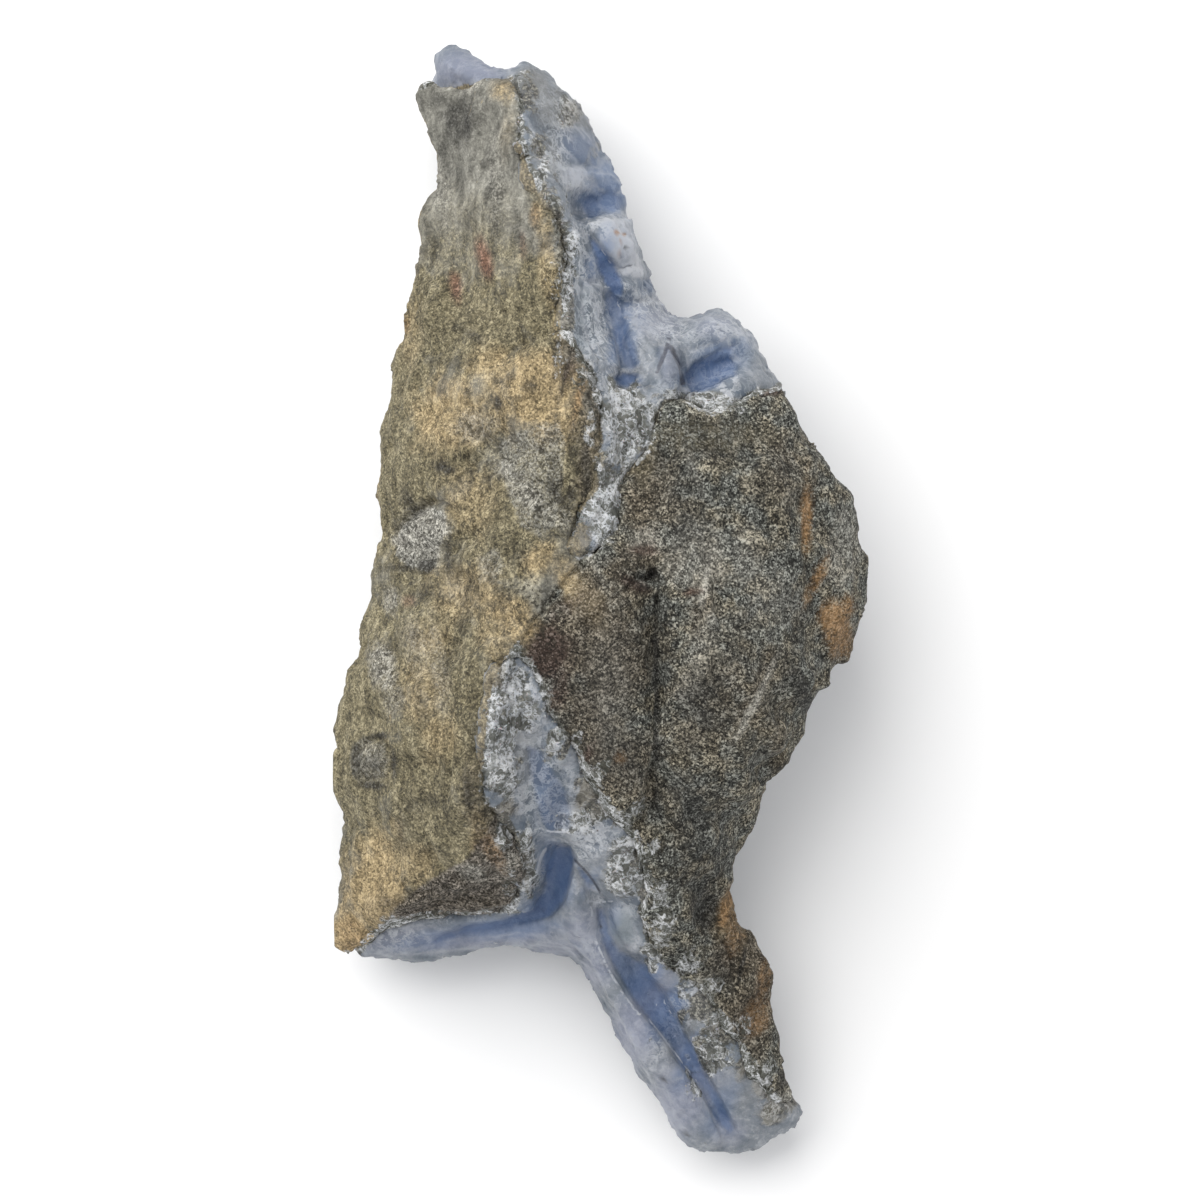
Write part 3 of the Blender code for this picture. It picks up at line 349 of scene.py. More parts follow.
# White lumps and flakes in the quartz
WHITE_PATCHES = [
    (601, 521, 14, 13, 0, 1.0), (507, 760, 20, 26, 0, 0.8), (511, 690, 6, 16, 24, 0.8),
    (575, 822, 12, 14, 0, 0.9), (618, 866, 16, 26, -34, 0.5), (590, 795, 8, 10, 0, 0.4),
    (536, 692, 8, 6, 0, 0.7), (556, 748, 12, 12, 0, 0.4), (600, 495, 12, 8, 0, 0.2),
    (585, 345, 10, 24, 0, 0.4), (610, 400, 8, 20, 0, 0.5), (630, 420, 10, 30, 0, 0.4),
    (706, 404, 30, 6, -6, 0.1), (655, 405, 8, 8, 0, 0.5), (538, 150, 8, 12, 0, 0.3),
    (548, 190, 8, 14, 0, 0.3), (703, 1018, 7, 9, -30, 0.5), (690, 985, 8, 14, -30, 0.2),
    (665, 925, 8, 20, -16, 0.4), (740, 1090, 20, 20, 0, 0.3),
]
CRUST_PATCHES = [
    (500, 760, 22, 46, 0, 1.0), (512, 700, 28, 48, 0, 1.0), (604, 798, 20, 42, -40, 1.0),
    (634, 858, 26, 42, -30, 1.0), (568, 820, 14, 12, 0, 0.9), (715, 406, 60, 10, -8, 1.0),
    (626, 428, 30, 52, -5, 1.0), (604, 505, 20, 54, 0, 1.0), (562, 285, 16, 90, 0, 0.9),
    (584, 380, 18, 26, -20, 0.9), (540, 165, 18, 44, 0, 0.5), (526, 84, 12, 16, 0, 0.5),
    (724, 1030, 22, 70, -32, 1.0), (528, 862, 12, 46, 10, 0.9), (505, 906, 26, 6, -20, 0.7),
    (776, 1100, 18, 30, -30, 0.8), (662, 925, 16, 50, -14, 1.0), (574, 104, 14, 44, -28, 0.6),
    (556, 738, 12, 18, -20, 0.7), (694, 975, 16, 30, -30, 0.8),
]
# Lone white flakes and frosted places on the agate
FROST_PATCHES = [
    (576, 260, 12, 34, 0, 0.8), (596, 330, 14, 46, 0, 0.7), (650, 305, 24, 16, -30, 0.7),
    (672, 335, 24, 12, 0, 0.7), (608, 376, 24, 8, 0, 0.8), (700, 385, 20, 8, 30, 0.5),
    (725, 378, 20, 10, 30, 0.6), (545, 775, 16, 34, 0, 0.4), (562, 815, 14, 10, 0, 0.8),
    (590, 840, 14, 30, -30, 0.8), (556, 842, 10, 8, 0, 0.3), (596, 898, 14, 5, 0, 0.6),
    (540, 870, 6, 30, 10, 0.5), (560, 150, 14, 34, -10, 0.6), (620, 290, 12, 5, 0, 0.6),
    (720, 330, 22, 10, 0, 0.4), (440, 918, 60, 6, 0, 0.4), (395, 935, 24, 10, 0, 0.5),
    (640, 955, 10, 20, -30, 0.3), (600, 232, 14, 5, -20, 0.3),
]
DIRTY_PATCHES = [
    (575, 112, 14, 34, -32, 0.8), (596, 150, 7, 24, -25, 0.6), (560, 88, 12, 10, -35, 0.5),
    (775, 1085, 22, 34, -30, 1.0), (776, 1108, 28, 20, 20, 1.0), (750, 1062, 12, 30, -35, 0.7),
    (725, 1018, 10, 34, -35, 0.6), (527, 872, 6, 40, 0, 0.6), (588, 788, 12, 26, -34, 0.9),
    (606, 800, 10, 34, -38, 0.7), (618, 462, 10, 30, 0, 0.5), (586, 540, 10, 14, 0, 0.7),
    (510, 806, 14, 14, 0, 0.9), (790, 1105, 14, 16, 0, 0.8), (503, 674, 6, 18, -10, 0.9),
    (565, 330, 6, 50, 0, 0.6), (646, 850, 8, 30, -20, 0.5), (645, 390, 12, 10, 0, 0.6),
    (646, 900, 10, 30, 0, 0.5), (590, 780, 10, 20, -30, 0.4),
]
MILKY_PATCHES = [
    (530, 90, 22, 24, 0, 1.0), (556, 115, 26, 30, -30, 0.9), (585, 135, 20, 30, -30, 0.7),
    (548, 160, 18, 30, 0, 0.8), (625, 420, 26, 50, 0, 0.6), (640, 345, 16, 24, -20, 0.3),
    (715, 405, 50, 10, -8, 0.7), (590, 800, 22, 40, -36, 0.8), (520, 740, 24, 60, 10, 0.8),
    (700, 1015, 14, 60, -30, 0.6), (630, 860, 24, 40, -30, 0.6), (670, 362, 8, 24, 0, 0.3),
    (745, 1090, 24, 30, -30, 0.4), (400, 935, 24, 14, 0, 0.5),
]
SPECKS = [
    (617, 237, 3.0, 2.0, 0, 0.9), (624, 238, 2.4, 2.0, 0, 0.9), (621, 246, 1.6, 2.6, 10, 0.7),
    (620, 258, 1.4, 2.0, 0, 0.6),
]
BLACK_SPECKS = [
    (673, 354, 1.8, 1.8, 0, 1.0), (657, 1045, 2.2, 3.0, 30, 0.9), (664, 1079, 1.6, 3.6, -10, 0.8),
    (624, 251, 1.4, 2.0, 0, 0.8), (601, 925, 1.2, 1.2, 0, 0.7), (644, 978, 1.2, 1.2, 0, 0.7),
    (610, 981, 1.2, 1.2, 0, 0.7), (688, 1138, 2.2, 1.2, -20, 0.7), (716, 327, 1.6, 1.4, 0, 0.6),
    (719, 333, 1.4, 1.4, 0, 0.6), (620, 262, 1.4, 1.6, 0, 0.5),
]
# Hairline creases on the agate, dark or pale: pixels, half width in millimetres, paleness
CREASES = [
    ([(668, 342), (665, 354), (660, 366), (656, 376)], 0.32, -0.8),
    ([(670, 350), (674, 360), (679, 370), (682, 386)], 0.34, -0.9),
    ([(585, 287), (596, 288), (609, 291)], 0.16, 0.7),
    ([(587, 236), (597, 247), (608, 263), (617, 277)], 0.14, 0.5),
    ([(591, 905), (596, 940), (608, 968), (625, 996), (638, 1013)], 0.32, 0.45),
    ([(632, 1016), (645, 1012), (656, 1006), (664, 998)], 0.16, 0.8),
    ([(664, 1002), (674, 1018), (683, 1030)], 0.14, 0.5),
    ([(540, 825), (550, 828), (567, 829)], 0.16, 0.8),
    ([(546, 846), (541, 856), (538, 870)], 0.26, 0.8),
    ([(575, 857), (584, 866), (594, 879), (600, 890)], 0.28, -0.6),
    ([(648, 1018), (662, 1036), (680, 1060), (700, 1086)], 0.3, 0.3),
    ([(574, 934), (590, 940), (600, 948)], 0.2, -0.2),
    ([(586, 899), (600, 901), (612, 899)], 0.2, 0.6),
    ([(615, 300), (622, 318), (630, 326)], 0.2, 0.5),
    ([(636, 344), (645, 352), (652, 366)], 0.16, 0.4),
]
# Where the agate's surface is broken into thin flakes
FLAKY_PATCHES = [
    (600, 250, 40, 60, 0, 0.6), (620, 330, 40, 60, 0, 0.45), (720, 345, 50, 40, 20, 0.4),
    (575, 270, 16, 50, 0, 0.9), (590, 330, 20, 50, 0, 0.8), (620, 420, 36, 50, 0, 0.9),
    (660, 325, 40, 26, -20, 0.35), (540, 780, 30, 56, 0, 1.0), (520, 720, 26, 60, 0, 1.0),
    (590, 810, 40, 40, -30, 1.0), (640, 880, 24, 40, -20, 0.9), (700, 395, 60, 20, 0, 0.8),
    (690, 1000, 20, 70, -34, 0.8), (520, 870, 20, 40, 0, 0.9), (735, 355, 20, 16, 30, 0.4),
    (550, 130, 24, 60, -10, 0.5), (596, 935, 16, 30, 0, 0.4), (390, 940, 40, 14, 0, 0.6),
    (575, 190, 16, 14, 0, 0.6), (700, 375, 24, 16, 30, 0.5), (600, 530, 24, 40, 0, 0.8),
]
# Where dark grains of the rock have grown into the quartz
ROCKY_PATCHES = [
    (704, 1034, 11, 20, -34, 0.65), (590, 796, 14, 20, -38, 0.9), (648, 894, 12, 20, 0, 0.9),
    (583, 544, 12, 18, 0, 0.95), (506, 690, 8, 16, 14, 0.6), (524, 682, 8, 10, 0, 0.5),
    (528, 100, 12, 34, -6, 0.75), (540, 150, 12, 34, -10, 0.7), (552, 196, 10, 26, -10, 0.6),
    (600, 792, 14, 26, -38, 0.75), (580, 776, 8, 24, -30, 0.7), (650, 905, 12, 30, -8, 0.85),
    (700, 1000, 16, 34, -34, 0.8), (583, 540, 12, 18, 0, 0.85), (528, 700, 8, 14, 0, 0.6),
    (520, 760, 8, 20, 0, 0.5), (548, 760, 8, 20, -20, 0.5), (604, 466, 9, 16, 0, 0.6),
    (566, 745, 7, 18, -25, 0.8), (618, 815, 8, 18, -35, 0.75), (638, 850, 7, 22, -20, 0.8),
    (694, 968, 14, 26, -34, 0.9), (714, 998, 14, 26, -34, 0.85), (732, 1028, 13, 26, -34, 0.85),
    (752, 1054, 11, 24, -34, 0.8), (772, 1082, 10, 20, -34, 0.6), (660, 935, 9, 26, -12, 0.8),
    (650, 900, 9, 24, -8, 0.8), (794, 1106, 8, 18, -20, 0.6), (505, 806, 16, 12, 0, 0.9),
    (516, 858, 12, 36, 8, 0.8), (506, 716, 9, 12, 0, 0.7), (553, 700, 6, 20, -20, 0.5),
    (562, 240, 7, 50, 0, 0.7), (568, 330, 8, 44, -10, 0.8), (588, 398, 10, 28, -10, 0.8),
    (588, 783, 10, 26, -30, 0.8), (655, 400, 16, 8, 0, 0.6), (605, 500, 12, 12, 0, 0.4),
    (545, 200, 8, 24, -10, 0.6), (640, 455, 12, 20, 0, 0.6), (532, 110, 8, 30, 0, 0.6),
    (584, 545, 12, 14, 0, 0.9), (612, 475, 8, 14, 0, 0.7), (500, 676, 5, 14, -16, 0.9),
    (574, 545, 10, 12, 0, 0.8), (618, 400, 10, 10, 0, 0.5), (600, 440, 6, 20, 0, 0.6),
]
# Where quartz lies over the rock beyond its seam with the agate
QUARTZ_PATCHES = [
    (577, 735, 8, 16, -25, 0.8), (601, 768, 9, 20, -35, 0.85), (632, 806, 10, 18, -35, 0.85),
    (652, 845, 9, 24, -15, 0.85), (659, 892, 10, 26, -8, 0.8), (552, 690, 6, 20, -20, 0.6),
    (557, 240, 8, 40, 0, 0.6), (560, 330, 10, 44, 0, 0.6), (580, 384, 10, 22, -20, 0.7),
    (664, 925, 16, 30, -16, 0.85), (690, 960, 16, 22, -34, 0.8), (712, 988, 14, 22, -34, 0.75),
    (740, 1030, 12, 26, -34, 0.7), (768, 1072, 10, 24, -34, 0.7), (652, 878, 8, 20, 0, 0.6),
    (560, 370, 10, 24, -10, 0.6), (552, 280, 9, 60, 0, 0.4), (530, 160, 8, 40, -8, 0.4),
    (590, 430, 10, 30, 0, 0.7), (612, 500, 12, 50, 0, 0.7), (660, 415, 20, 10, 0, 0.6),
    (495, 700, 8, 40, 6, 0.5), (490, 770, 9, 30, 0, 0.7), (505, 830, 12, 18, 10, 0.8),
    (512, 880, 10, 22, 6, 0.7), (565, 715, 6, 30, -24, 0.4), (600, 775, 6, 24, -30, 0.4),
    (730, 412, 50, 6, -8, 0.6), (480, 905, 30, 6, 0, 0.4),
]
# Broken plates of agate and quartz over what lies beside them: pixels, rise in millimetres, paleness
PLATES = [
    ([(505, 60), (530, 58), (566, 74), (596, 110), (612, 150), (600, 168), (560, 170), (540, 150),
      (520, 110)], 0.0, -0.30),
    ([(440, 40), (470, 42), (520, 66), (510, 82), (430, 86)], 0.0, -0.22),
    ([(652, 352), (684, 345), (690, 390), (664, 396), (655, 380)], 0.0, -0.26),
    ([(534, 744), (548, 740), (566, 770), (572, 800), (566, 826), (540, 828), (532, 790)], 0.0, -0.35),
    ([(664, 1080), (690, 1078), (720, 1130), (700, 1150), (676, 1120)], 0.0, -0.13),
    ([(350, 935), (420, 925), (430, 945), (370, 965)], 0.0, -0.14),
    ([(572, 300), (592, 296), (600, 350), (590, 370), (574, 350)], 0.0, -0.12),
    ([(728, 338), (750, 336), (770, 370), (750, 376), (730, 360)], 0.0, -0.12),
    ([(575, 845), (600, 880), (604, 930), (600, 956), (576, 940), (570, 900)], 0.0, 0.18),
    ([(560, 938), (600, 942), (618, 980), (600, 974), (578, 960)], 0.0, -0.36),
    ([(584, 226), (600, 222), (628, 222), (637, 252), (648, 280), (636, 283), (622, 276), (610, 262),
      (598, 246)], 0.6, 0.30),
    ([(613, 240), (628, 238), (638, 256), (646, 278), (632, 281), (618, 272)], 0.15, 0.12),
    ([(584, 291), (596, 289), (608, 293), (610, 312), (615, 330), (616, 350), (620, 372), (602, 374),
      (590, 350), (582, 318)], 0.45, 0.06),
    ([(570, 236), (585, 240), (594, 262), (598, 284), (580, 284), (566, 262)], 0.3, 0.10),
    ([(566, 296), (580, 292), (584, 320), (590, 352), (596, 372), (580, 364), (566, 340)], 0.2, 0.02),
    ([(632, 292), (655, 302), (672, 314), (698, 324), (688, 345), (664, 344), (650, 356), (638, 340)],
     0.3, 0.0),
    ([(634, 280), (650, 278), (656, 290), (652, 302), (638, 300)], 0.25, -0.30),
    ([(668, 344), (674, 360), (682, 386), (668, 396), (658, 378), (664, 360)], 0.45, -0.05),
    ([(650, 352), (664, 346), (662, 362), (656, 380), (648, 374)], 0.2, -0.10),
    ([(700, 322), (716, 311), (737, 322), (742, 336), (712, 346), (690, 353), (684, 340)], 0.25, -0.05),
    ([(724, 340), (742, 336), (756, 348), (766, 366), (750, 368), (736, 362)], 0.15, 0.02),
    ([(620, 318), (632, 322), (640, 350), (645, 373), (632, 372), (624, 346)], 0.2, 0.08),
    ([(560, 172), (578, 170), (592, 176), (590, 192), (570, 196)], 0.3, 0.36),
    ([(592, 176), (612, 176), (626, 190), (612, 196), (598, 192)], 0.15, -0.05),
    ([(560, 128), (580, 130), (598, 150), (600, 170), (580, 168), (562, 150)], 0.15, -0.24),
    ([(566, 104), (578, 104), (596, 134), (592, 146), (574, 128)], 0.15, 0.10),
    ([(492, 745), (515, 735), (528, 750), (528, 780), (512, 788), (490, 785)], 0.4, 0.16),
    ([(500, 705), (506, 690), (515, 675), (521, 680), (519, 695), (510, 705)], 0.5, 0.25),
    ([(524, 688), (534, 682), (541, 688), (536, 700), (526, 700)], 0.4, 0.20),
    ([(516, 706), (536, 702), (548, 714), (550, 730), (530, 734), (514, 722)], 0.25, 0.06),
    ([(545, 735), (565, 738), (576, 756), (562, 764), (546, 752)], 0.3, 0.16),
    ([(565, 808), (578, 810), (588, 825), (583, 838), (570, 838), (566, 825)], 0.4, 0.25),
    ([(584, 842), (606, 846), (628, 868), (640, 893), (620, 892), (600, 872)], 0.35, 0.14),
    ([(590, 812), (608, 812), (626, 828), (622, 838), (600, 832)], 0.3, 0.02),
    ([(572, 868), (588, 890), (595, 912), (600, 940), (610, 964), (598, 960), (578, 936), (562, 922)],
     0.25, 0.0),
    ([(560, 930), (595, 950), (612, 972), (628, 996), (640, 1012), (655, 1030), (669, 1050), (684, 1072),
      (698, 1090), (710, 1112), (719, 1134), (724, 1148), (700, 1156), (680, 1140), (650, 1080),
      (618, 1010), (590, 960)], 0.45, 0.13),
    ([(606, 905), (622, 900), (632, 912), (639, 940), (634, 954), (618, 946), (609, 930)], 0.25, 0.24),
    ([(375, 958), (420, 950), (455, 940), (520, 934), (560, 938), (585, 950), (540, 946), (470, 950)],
     0.2, 0.02),
    ([(536, 800), (545, 795), (556, 812), (560, 826), (546, 832)], 0.3, -0.15),
    ([(352, 938), (372, 930), (396, 934), (392, 950), (370, 956)], 0.2, 0.12),
]
# Where the agate is smooth and even
CALM_PATCHES = [
    (635, 1030, 36, 110, -28, 1.0), (700, 1110, 40, 50, -28, 1.0), (605, 950, 30, 50, -10, 0.8),
    (560, 880, 16, 44, 10, 1.0), (500, 930, 60, 14, 4, 0.8), (430, 940, 50, 14, 8, 0.6),
    (612, 250, 24, 30, 0, 0.9), (600, 205, 24, 16, 0, 0.9), (612, 300, 14, 60, -8, 0.8),
    (705, 375, 26, 20, 20, 0.6), (590, 330, 16, 40, 0, 0.5), (716, 330, 24, 14, 0, 0.6),
    (580, 120, 24, 40, -30, 0.5), (590, 165, 24, 20, 0, 0.8),
]


def places(pixels):
    """Pixels of the photograph as metres on the stone, seen from above."""
    rows = np.asarray(pixels, float)
    return np.stack([(rows[:, 0] - STONE_MIDDLE[0]) * PIXEL, (STONE_MIDDLE[1] - rows[:, 1]) * PIXEL], 1)


def distance_to_line(flat, line):
    """Distance of each point from a line of pixels, in millimetres, seen from above."""
    corners = places(line)
    nearest = np.full(len(flat), np.inf)
    for start, end in zip(corners, corners[1:]):
        along = end - start
        share = np.clip((flat - start) @ along / max(along @ along, 1e-12), 0.0, 1.0)
        away = np.linalg.norm(flat - start - share[:, None] * along, axis=1)
        nearest = np.minimum(nearest, away)
    return nearest / MM


def depth_inside(flat, outline):
    """Distance of each point from a closed outline of pixels, in millimetres, negative outside it."""
    corners = places(outline)
    inside = np.zeros(len(flat), bool)
    for (x0, y0), (x1, y1) in zip(corners, np.roll(corners, -1, axis=0)):
        crosses = (y0 > flat[:, 1]) != (y1 > flat[:, 1])
        height = np.where(y1 == y0, 1e-12, y1 - y0)
        inside ^= crosses & (flat[:, 0] < (x1 - x0) * (flat[:, 1] - y0) / height + x0)
    edge = distance_to_line(flat, outline + outline[:1])
    return np.where(inside, edge, -edge)


def smooth_step(value):
    """Nothing up to 0, one from 1 on, and a soft bend between."""
    value = np.clip(value, 0.0, 1.0)
    return value * value * (3.0 - 2.0 * value)


def looking_up(normals, start, width):
    """Nothing where the stone looks down, one where it looks up, turning over this width of slope."""
    return smooth_step((normals[:, 2] - start) / width)


def patches(flat, spots, waver):
    """How strongly each point is covered by soft patches, whose edges waver."""
    cover = np.zeros(len(flat))
    for x, y, half_width, half_height, turn, strength in spots:
        centre = places([(x, y)])[0]
        angle = math.radians(turn)
        away = (flat - centre) / PIXEL
        across = away[:, 0] * math.cos(angle) + away[:, 1] * math.sin(angle)
        along = -away[:, 0] * math.sin(angle) + away[:, 1] * math.cos(angle)
        reach = np.hypot(across / half_width, along / half_height)
        cover = np.maximum(cover, strength * smooth_step(PATCH_EDGE - reach + PATCH_WAVER * waver))
    return cover


def open_bands(flat):
    """How deep each point lies in the nearest of the darkest bands, in millimetres, and its darkness."""
    deepest = np.full(len(flat), -FAR)
    strength = np.zeros(len(flat))
    for outline, dark in DEEP_BANDS:
        depth = depth_inside(flat, outline)
        strength = np.where(depth > deepest, dark, strength)
        deepest = np.maximum(deepest, depth)
    return deepest, strength


def nearest_crease(flat, pale):
    """Distance from the nearest pale or dark hairline crease, in half widths of it."""
    nearest = np.full(len(flat), FAR)
    for line, half_width, paleness in CREASES:
        if (paleness > 0.0) == pale:
            nearest = np.minimum(nearest, distance_to_line(flat, line) / half_width / abs(paleness))
    return nearest


def noise_at(points, size, seed):
    """Soft noise between -1 and 1, with lumps of this size in metres."""
    shift = Vector((seed, -seed, 0.5 * seed))
    return np.array([noise.noise(Vector(p) / size + shift) for p in points])


def waver_at(points, seed):
    """The noise that makes the edges of patches and lines waver."""
    return noise_at(points, WIDE_WAVER, seed) + 0.5 * noise_at(points, NARROW_WAVER, seed + 1.0)


def ridges_at(points, size, seed):
    """Sharp crests about this far apart, between -1 and 1."""
    return 1.0 - 3.0 * np.abs(noise_at(points, size, seed))


def facets_at(points, size, seed):
    """Heights of broken facets about this size, each a plane that leans its own way."""
    shift = Vector((seed, 1.7 * seed, 2.3 * seed))
    heights = np.empty(len(points))
    for i, p in enumerate(points):
        place = Vector(p) / size + shift
        place += 0.3 * noise.noise_vector(1.7 * place)
        centre = noise.voronoi(place)[1][0]
        lean = 2.0 * noise.cell_vector(7.0 * centre) - Vector((1.0, 1.0, 1.0))
        heights[i] = (place - centre).dot(lean)
    return heights


ROUGHNESS = {"ridges": ridges_at, "lumps": noise_at, "facets": facets_at}


def read_points(mesh):
    """The mesh's points and their normals."""
    points = np.empty(len(mesh.vertices) * 3)
    mesh.vertices.foreach_get("co", points)
    normals = np.empty(len(mesh.vertices) * 3)
    mesh.vertices.foreach_get("normal", normals)
    return points.reshape(-1, 3), normals.reshape(-1, 3)


def move_points(mesh, points):
    """Puts the mesh's points in new places, none of them outside the box of the solids."""
    points = np.clip(points, np.array(cad_box[0]), np.array(cad_box[1]))
    mesh.vertices.foreach_set("co", points.ravel())
    mesh.update()


def add_attribute(mesh, name, values):
    """Keeps a value for each point of the mesh, for its material to read."""
    attribute = mesh.attributes.new(name, "FLOAT", "POINT")
    attribute.data.foreach_set("value", np.ascontiguousarray(values, dtype=np.float32))


def with_modifiers(mesh, modifiers):
    """The mesh after a stack of modifiers, given as (type, settings) pairs."""
    obj = bpy.data.objects.new("blank", mesh)
    bpy.context.scene.collection.objects.link(obj)
    for kind, settings in modifiers:
        modifier = obj.modifiers.new(kind, kind)
        for key, value in settings.items():
            setattr(modifier, key, value)
    graph = bpy.context.evaluated_depsgraph_get()
    result = bpy.data.meshes.new_from_object(obj.evaluated_get(graph))
    bpy.data.objects.remove(obj)
    return result


def fine_copy(node):
    """An even, fine mesh of a solid, grown a little so that rock and agate meet."""
    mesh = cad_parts[node].data.copy()
    bm = bmesh.new()
    bm.from_mesh(mesh)
    bmesh.ops.remove_doubles(bm, verts=bm.verts, dist=SAME_PLACE)
    bm.to_mesh(mesh)
    bm.free()
    remesh = ("REMESH", {"mode": "VOXEL", "voxel_size": FINE_STEP})
    mesh = with_modifiers(mesh, [remesh, ("SMOOTH", ROUNDING)])
    for layer in list(mesh.attributes):
        if layer.name in ("material_index", "sharp_face"):
            mesh.attributes.remove(layer)
    points, normals = read_points(mesh)
    move_points(mesh, points + normals * SEAM_GROWTH)
    return mesh


def without_crumbs(mesh):
    """Only the largest connected part of the mesh."""
    bm = bmesh.new()
    bm.from_mesh(mesh)
    unseen = set(bm.verts)
    parts = []
    while unseen:
        reached = [unseen.pop()]
        for vert in reached:
            near = {edge.other_vert(vert) for edge in vert.link_edges} & unseen
            unseen -= near
            reached.extend(near)
        parts.append(reached)
    parts.sort(key=len)
    for crumb in parts[:-1]:
        bmesh.ops.delete(bm, geom=crumb, context="VERTS")
    bm.to_mesh(mesh)
    bm.free()


def thinned(mesh):
    """The mesh with no more triangles than one piece may have, fewest where it is smoothest."""
    triangles = sum(len(p.vertices) - 2 for p in mesh.polygons)
    share = min(1.0, FINEST_MESH / triangles)
    mesh = with_modifiers(mesh, [("DECIMATE", {"ratio": share})])
    without_crumbs(mesh)
    move_points(mesh, read_points(mesh)[0])
    return mesh


def finished_piece(name, mesh, material, node):
    """A smooth-shaded piece that stands for a solid and takes the material it is given."""
    mesh.name = name
    mesh.materials.clear()
    mesh.materials.append(material)
    mesh.polygons.foreach_set("use_smooth", np.ones(len(mesh.polygons), bool))
    obj = bpy.data.objects.new(name, mesh)
    bpy.context.scene.collection.objects.link(obj)
    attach(obj, "root")
    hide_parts(node)


class Tree:
    """Short words for laying out a material's nodes."""

    def __init__(self, name):
        self.material = bpy.data.materials.new(name)
        self.material.use_nodes = True
        self.nodes = self.material.node_tree.nodes
        self.links = self.material.node_tree.links
        self.shader = self.nodes["Principled BSDF"]
        self.place = self.nodes.new("ShaderNodeTexCoord").outputs["Object"]

    def put(self, socket, value):
        """Links a socket to another, or sets it to a plain value."""
        if hasattr(value, "is_linked"):
            self.links.new(value, socket)
        else:
            socket.default_value = value

    def attribute(self, name):
        node = self.nodes.new("ShaderNodeAttribute")
        node.attribute_name = name
        return node.outputs["Fac"]

    def math(self, operation, a, b=0.0):
        node = self.nodes.new("ShaderNodeMath")
        node.operation = operation
        self.put(node.inputs[0], a)
        self.put(node.inputs[1], b)
        return node.outputs[0]

    def swing(self, value, weight):
        """How far a value is above or below one half, times a weight."""
        return self.math("MULTIPLY", self.math("SUBTRACT", value, 0.5), weight)

    def torn(self, name, ragged, unrest, start, end):
        """A cover laid on, spread from start to end, with its edge torn by a ragged noise."""
        return self.spread(self.math("ADD", self.attribute(name), self.swing(ragged, unrest)), start, end)

    def spread(self, value, start, end):
        """Nothing up to start, all of it from end on."""
        node = self.nodes.new("ShaderNodeMapRange")
        self.links.new(value, node.inputs["Value"])
        node.inputs["From Min"].default_value = start
        node.inputs["From Max"].default_value = end
        return node.outputs["Result"]

    def total(self, *parts):
        """Sum of values, each with its own weight, around their middle of one half."""
        result = 0.5
        for value, weight in parts:
            result = self.math("ADD", self.swing(value, weight), result)
        return result

    def noise(self, size, detail=2.0, roughness=0.55, place=None):
        node = self.nodes.new("ShaderNodeTexNoise")
        self.links.new(place or self.place, node.inputs["Vector"])
        node.inputs["Scale"].default_value = 1.0 / size
        node.inputs["Detail"].default_value = detail
        node.inputs["Roughness"].default_value = roughness
        return node.outputs["Fac"]

    def cells(self, size, place=None, index=0):
        """A random value for each cell of about this size."""
        node = self.nodes.new("ShaderNodeTexVoronoi")
        self.links.new(place or self.place, node.inputs["Vector"])
        node.inputs["Scale"].default_value = 1.0 / size
        split = self.nodes.new("ShaderNodeSeparateColor")
        self.links.new(node.outputs["Color"], split.inputs[0])
        return split.outputs[index]

    def stretched(self, factors, place=None):
        """The place on the stone, with its axes stretched, so that patterns on it draw out."""
        node = self.nodes.new("ShaderNodeVectorMath")
        node.operation = "MULTIPLY"
        self.links.new(place or self.place, node.inputs[0])
        node.inputs[1].default_value = factors
        return node.outputs[0]

    def warp(self, size, reach):
        """The place on the stone, pushed about by noise, so that patterns on it don't run straight."""
        node = self.nodes.new("ShaderNodeTexNoise")
        self.links.new(self.place, node.inputs["Vector"])
        node.inputs["Scale"].default_value = 1.0 / size
        node.inputs["Detail"].default_value = 2.0
        centred = self.nodes.new("ShaderNodeVectorMath")
        centred.operation = "SUBTRACT"
        self.links.new(node.outputs["Color"], centred.inputs[0])
        centred.inputs[1].default_value = (0.5, 0.5, 0.5)
        scaled = self.nodes.new("ShaderNodeVectorMath")
        scaled.operation = "SCALE"
        self.links.new(centred.outputs[0], scaled.inputs[0])
        scaled.inputs["Scale"].default_value = reach
        added = self.nodes.new("ShaderNodeVectorMath")
        self.links.new(self.place, added.inputs[0])
        self.links.new(scaled.outputs[0], added.inputs[1])
        return added.outputs[0]

    def ramp(self, value, stops):
        node = self.nodes.new("ShaderNodeValToRGB")
        elements = node.color_ramp.elements
        while len(elements) < len(stops):
            elements.new(0.5)
        for element, (position, colour) in zip(elements, stops):
            element.position = position
            element.color = (*colour, 1.0)
        self.links.new(value, node.inputs["Fac"])
        return node.outputs["Color"]

    def grains(self, value, mean, contrast=1.0):
        """Grains of a stone of this mean colour, from its dark minerals to its pale ones."""
        def shade(factor, paleness=0.0):
            factor = factor ** contrast
            return tuple(min(1.0, c * factor * (1.0 - paleness) + paleness * 0.5) for c in mean)
        return self.ramp(value, [
            (0.14, shade(0.20)), (0.36, shade(0.60)), (0.54, shade(1.03)), (0.70, shade(1.60, 0.02)),
            (0.90, shade(2.7, 0.10)),
        ])

    def mix(self, share, a, b):
        node = self.nodes.new("ShaderNodeMix")
        node.data_type = "RGBA"
        self.put(node.inputs["Factor"], share)
        for socket, value in ((node.inputs["A"], a), (node.inputs["B"], b)):
            self.put(socket, (*value, 1.0) if isinstance(value, tuple) else value)
        return node.outputs["Result"]

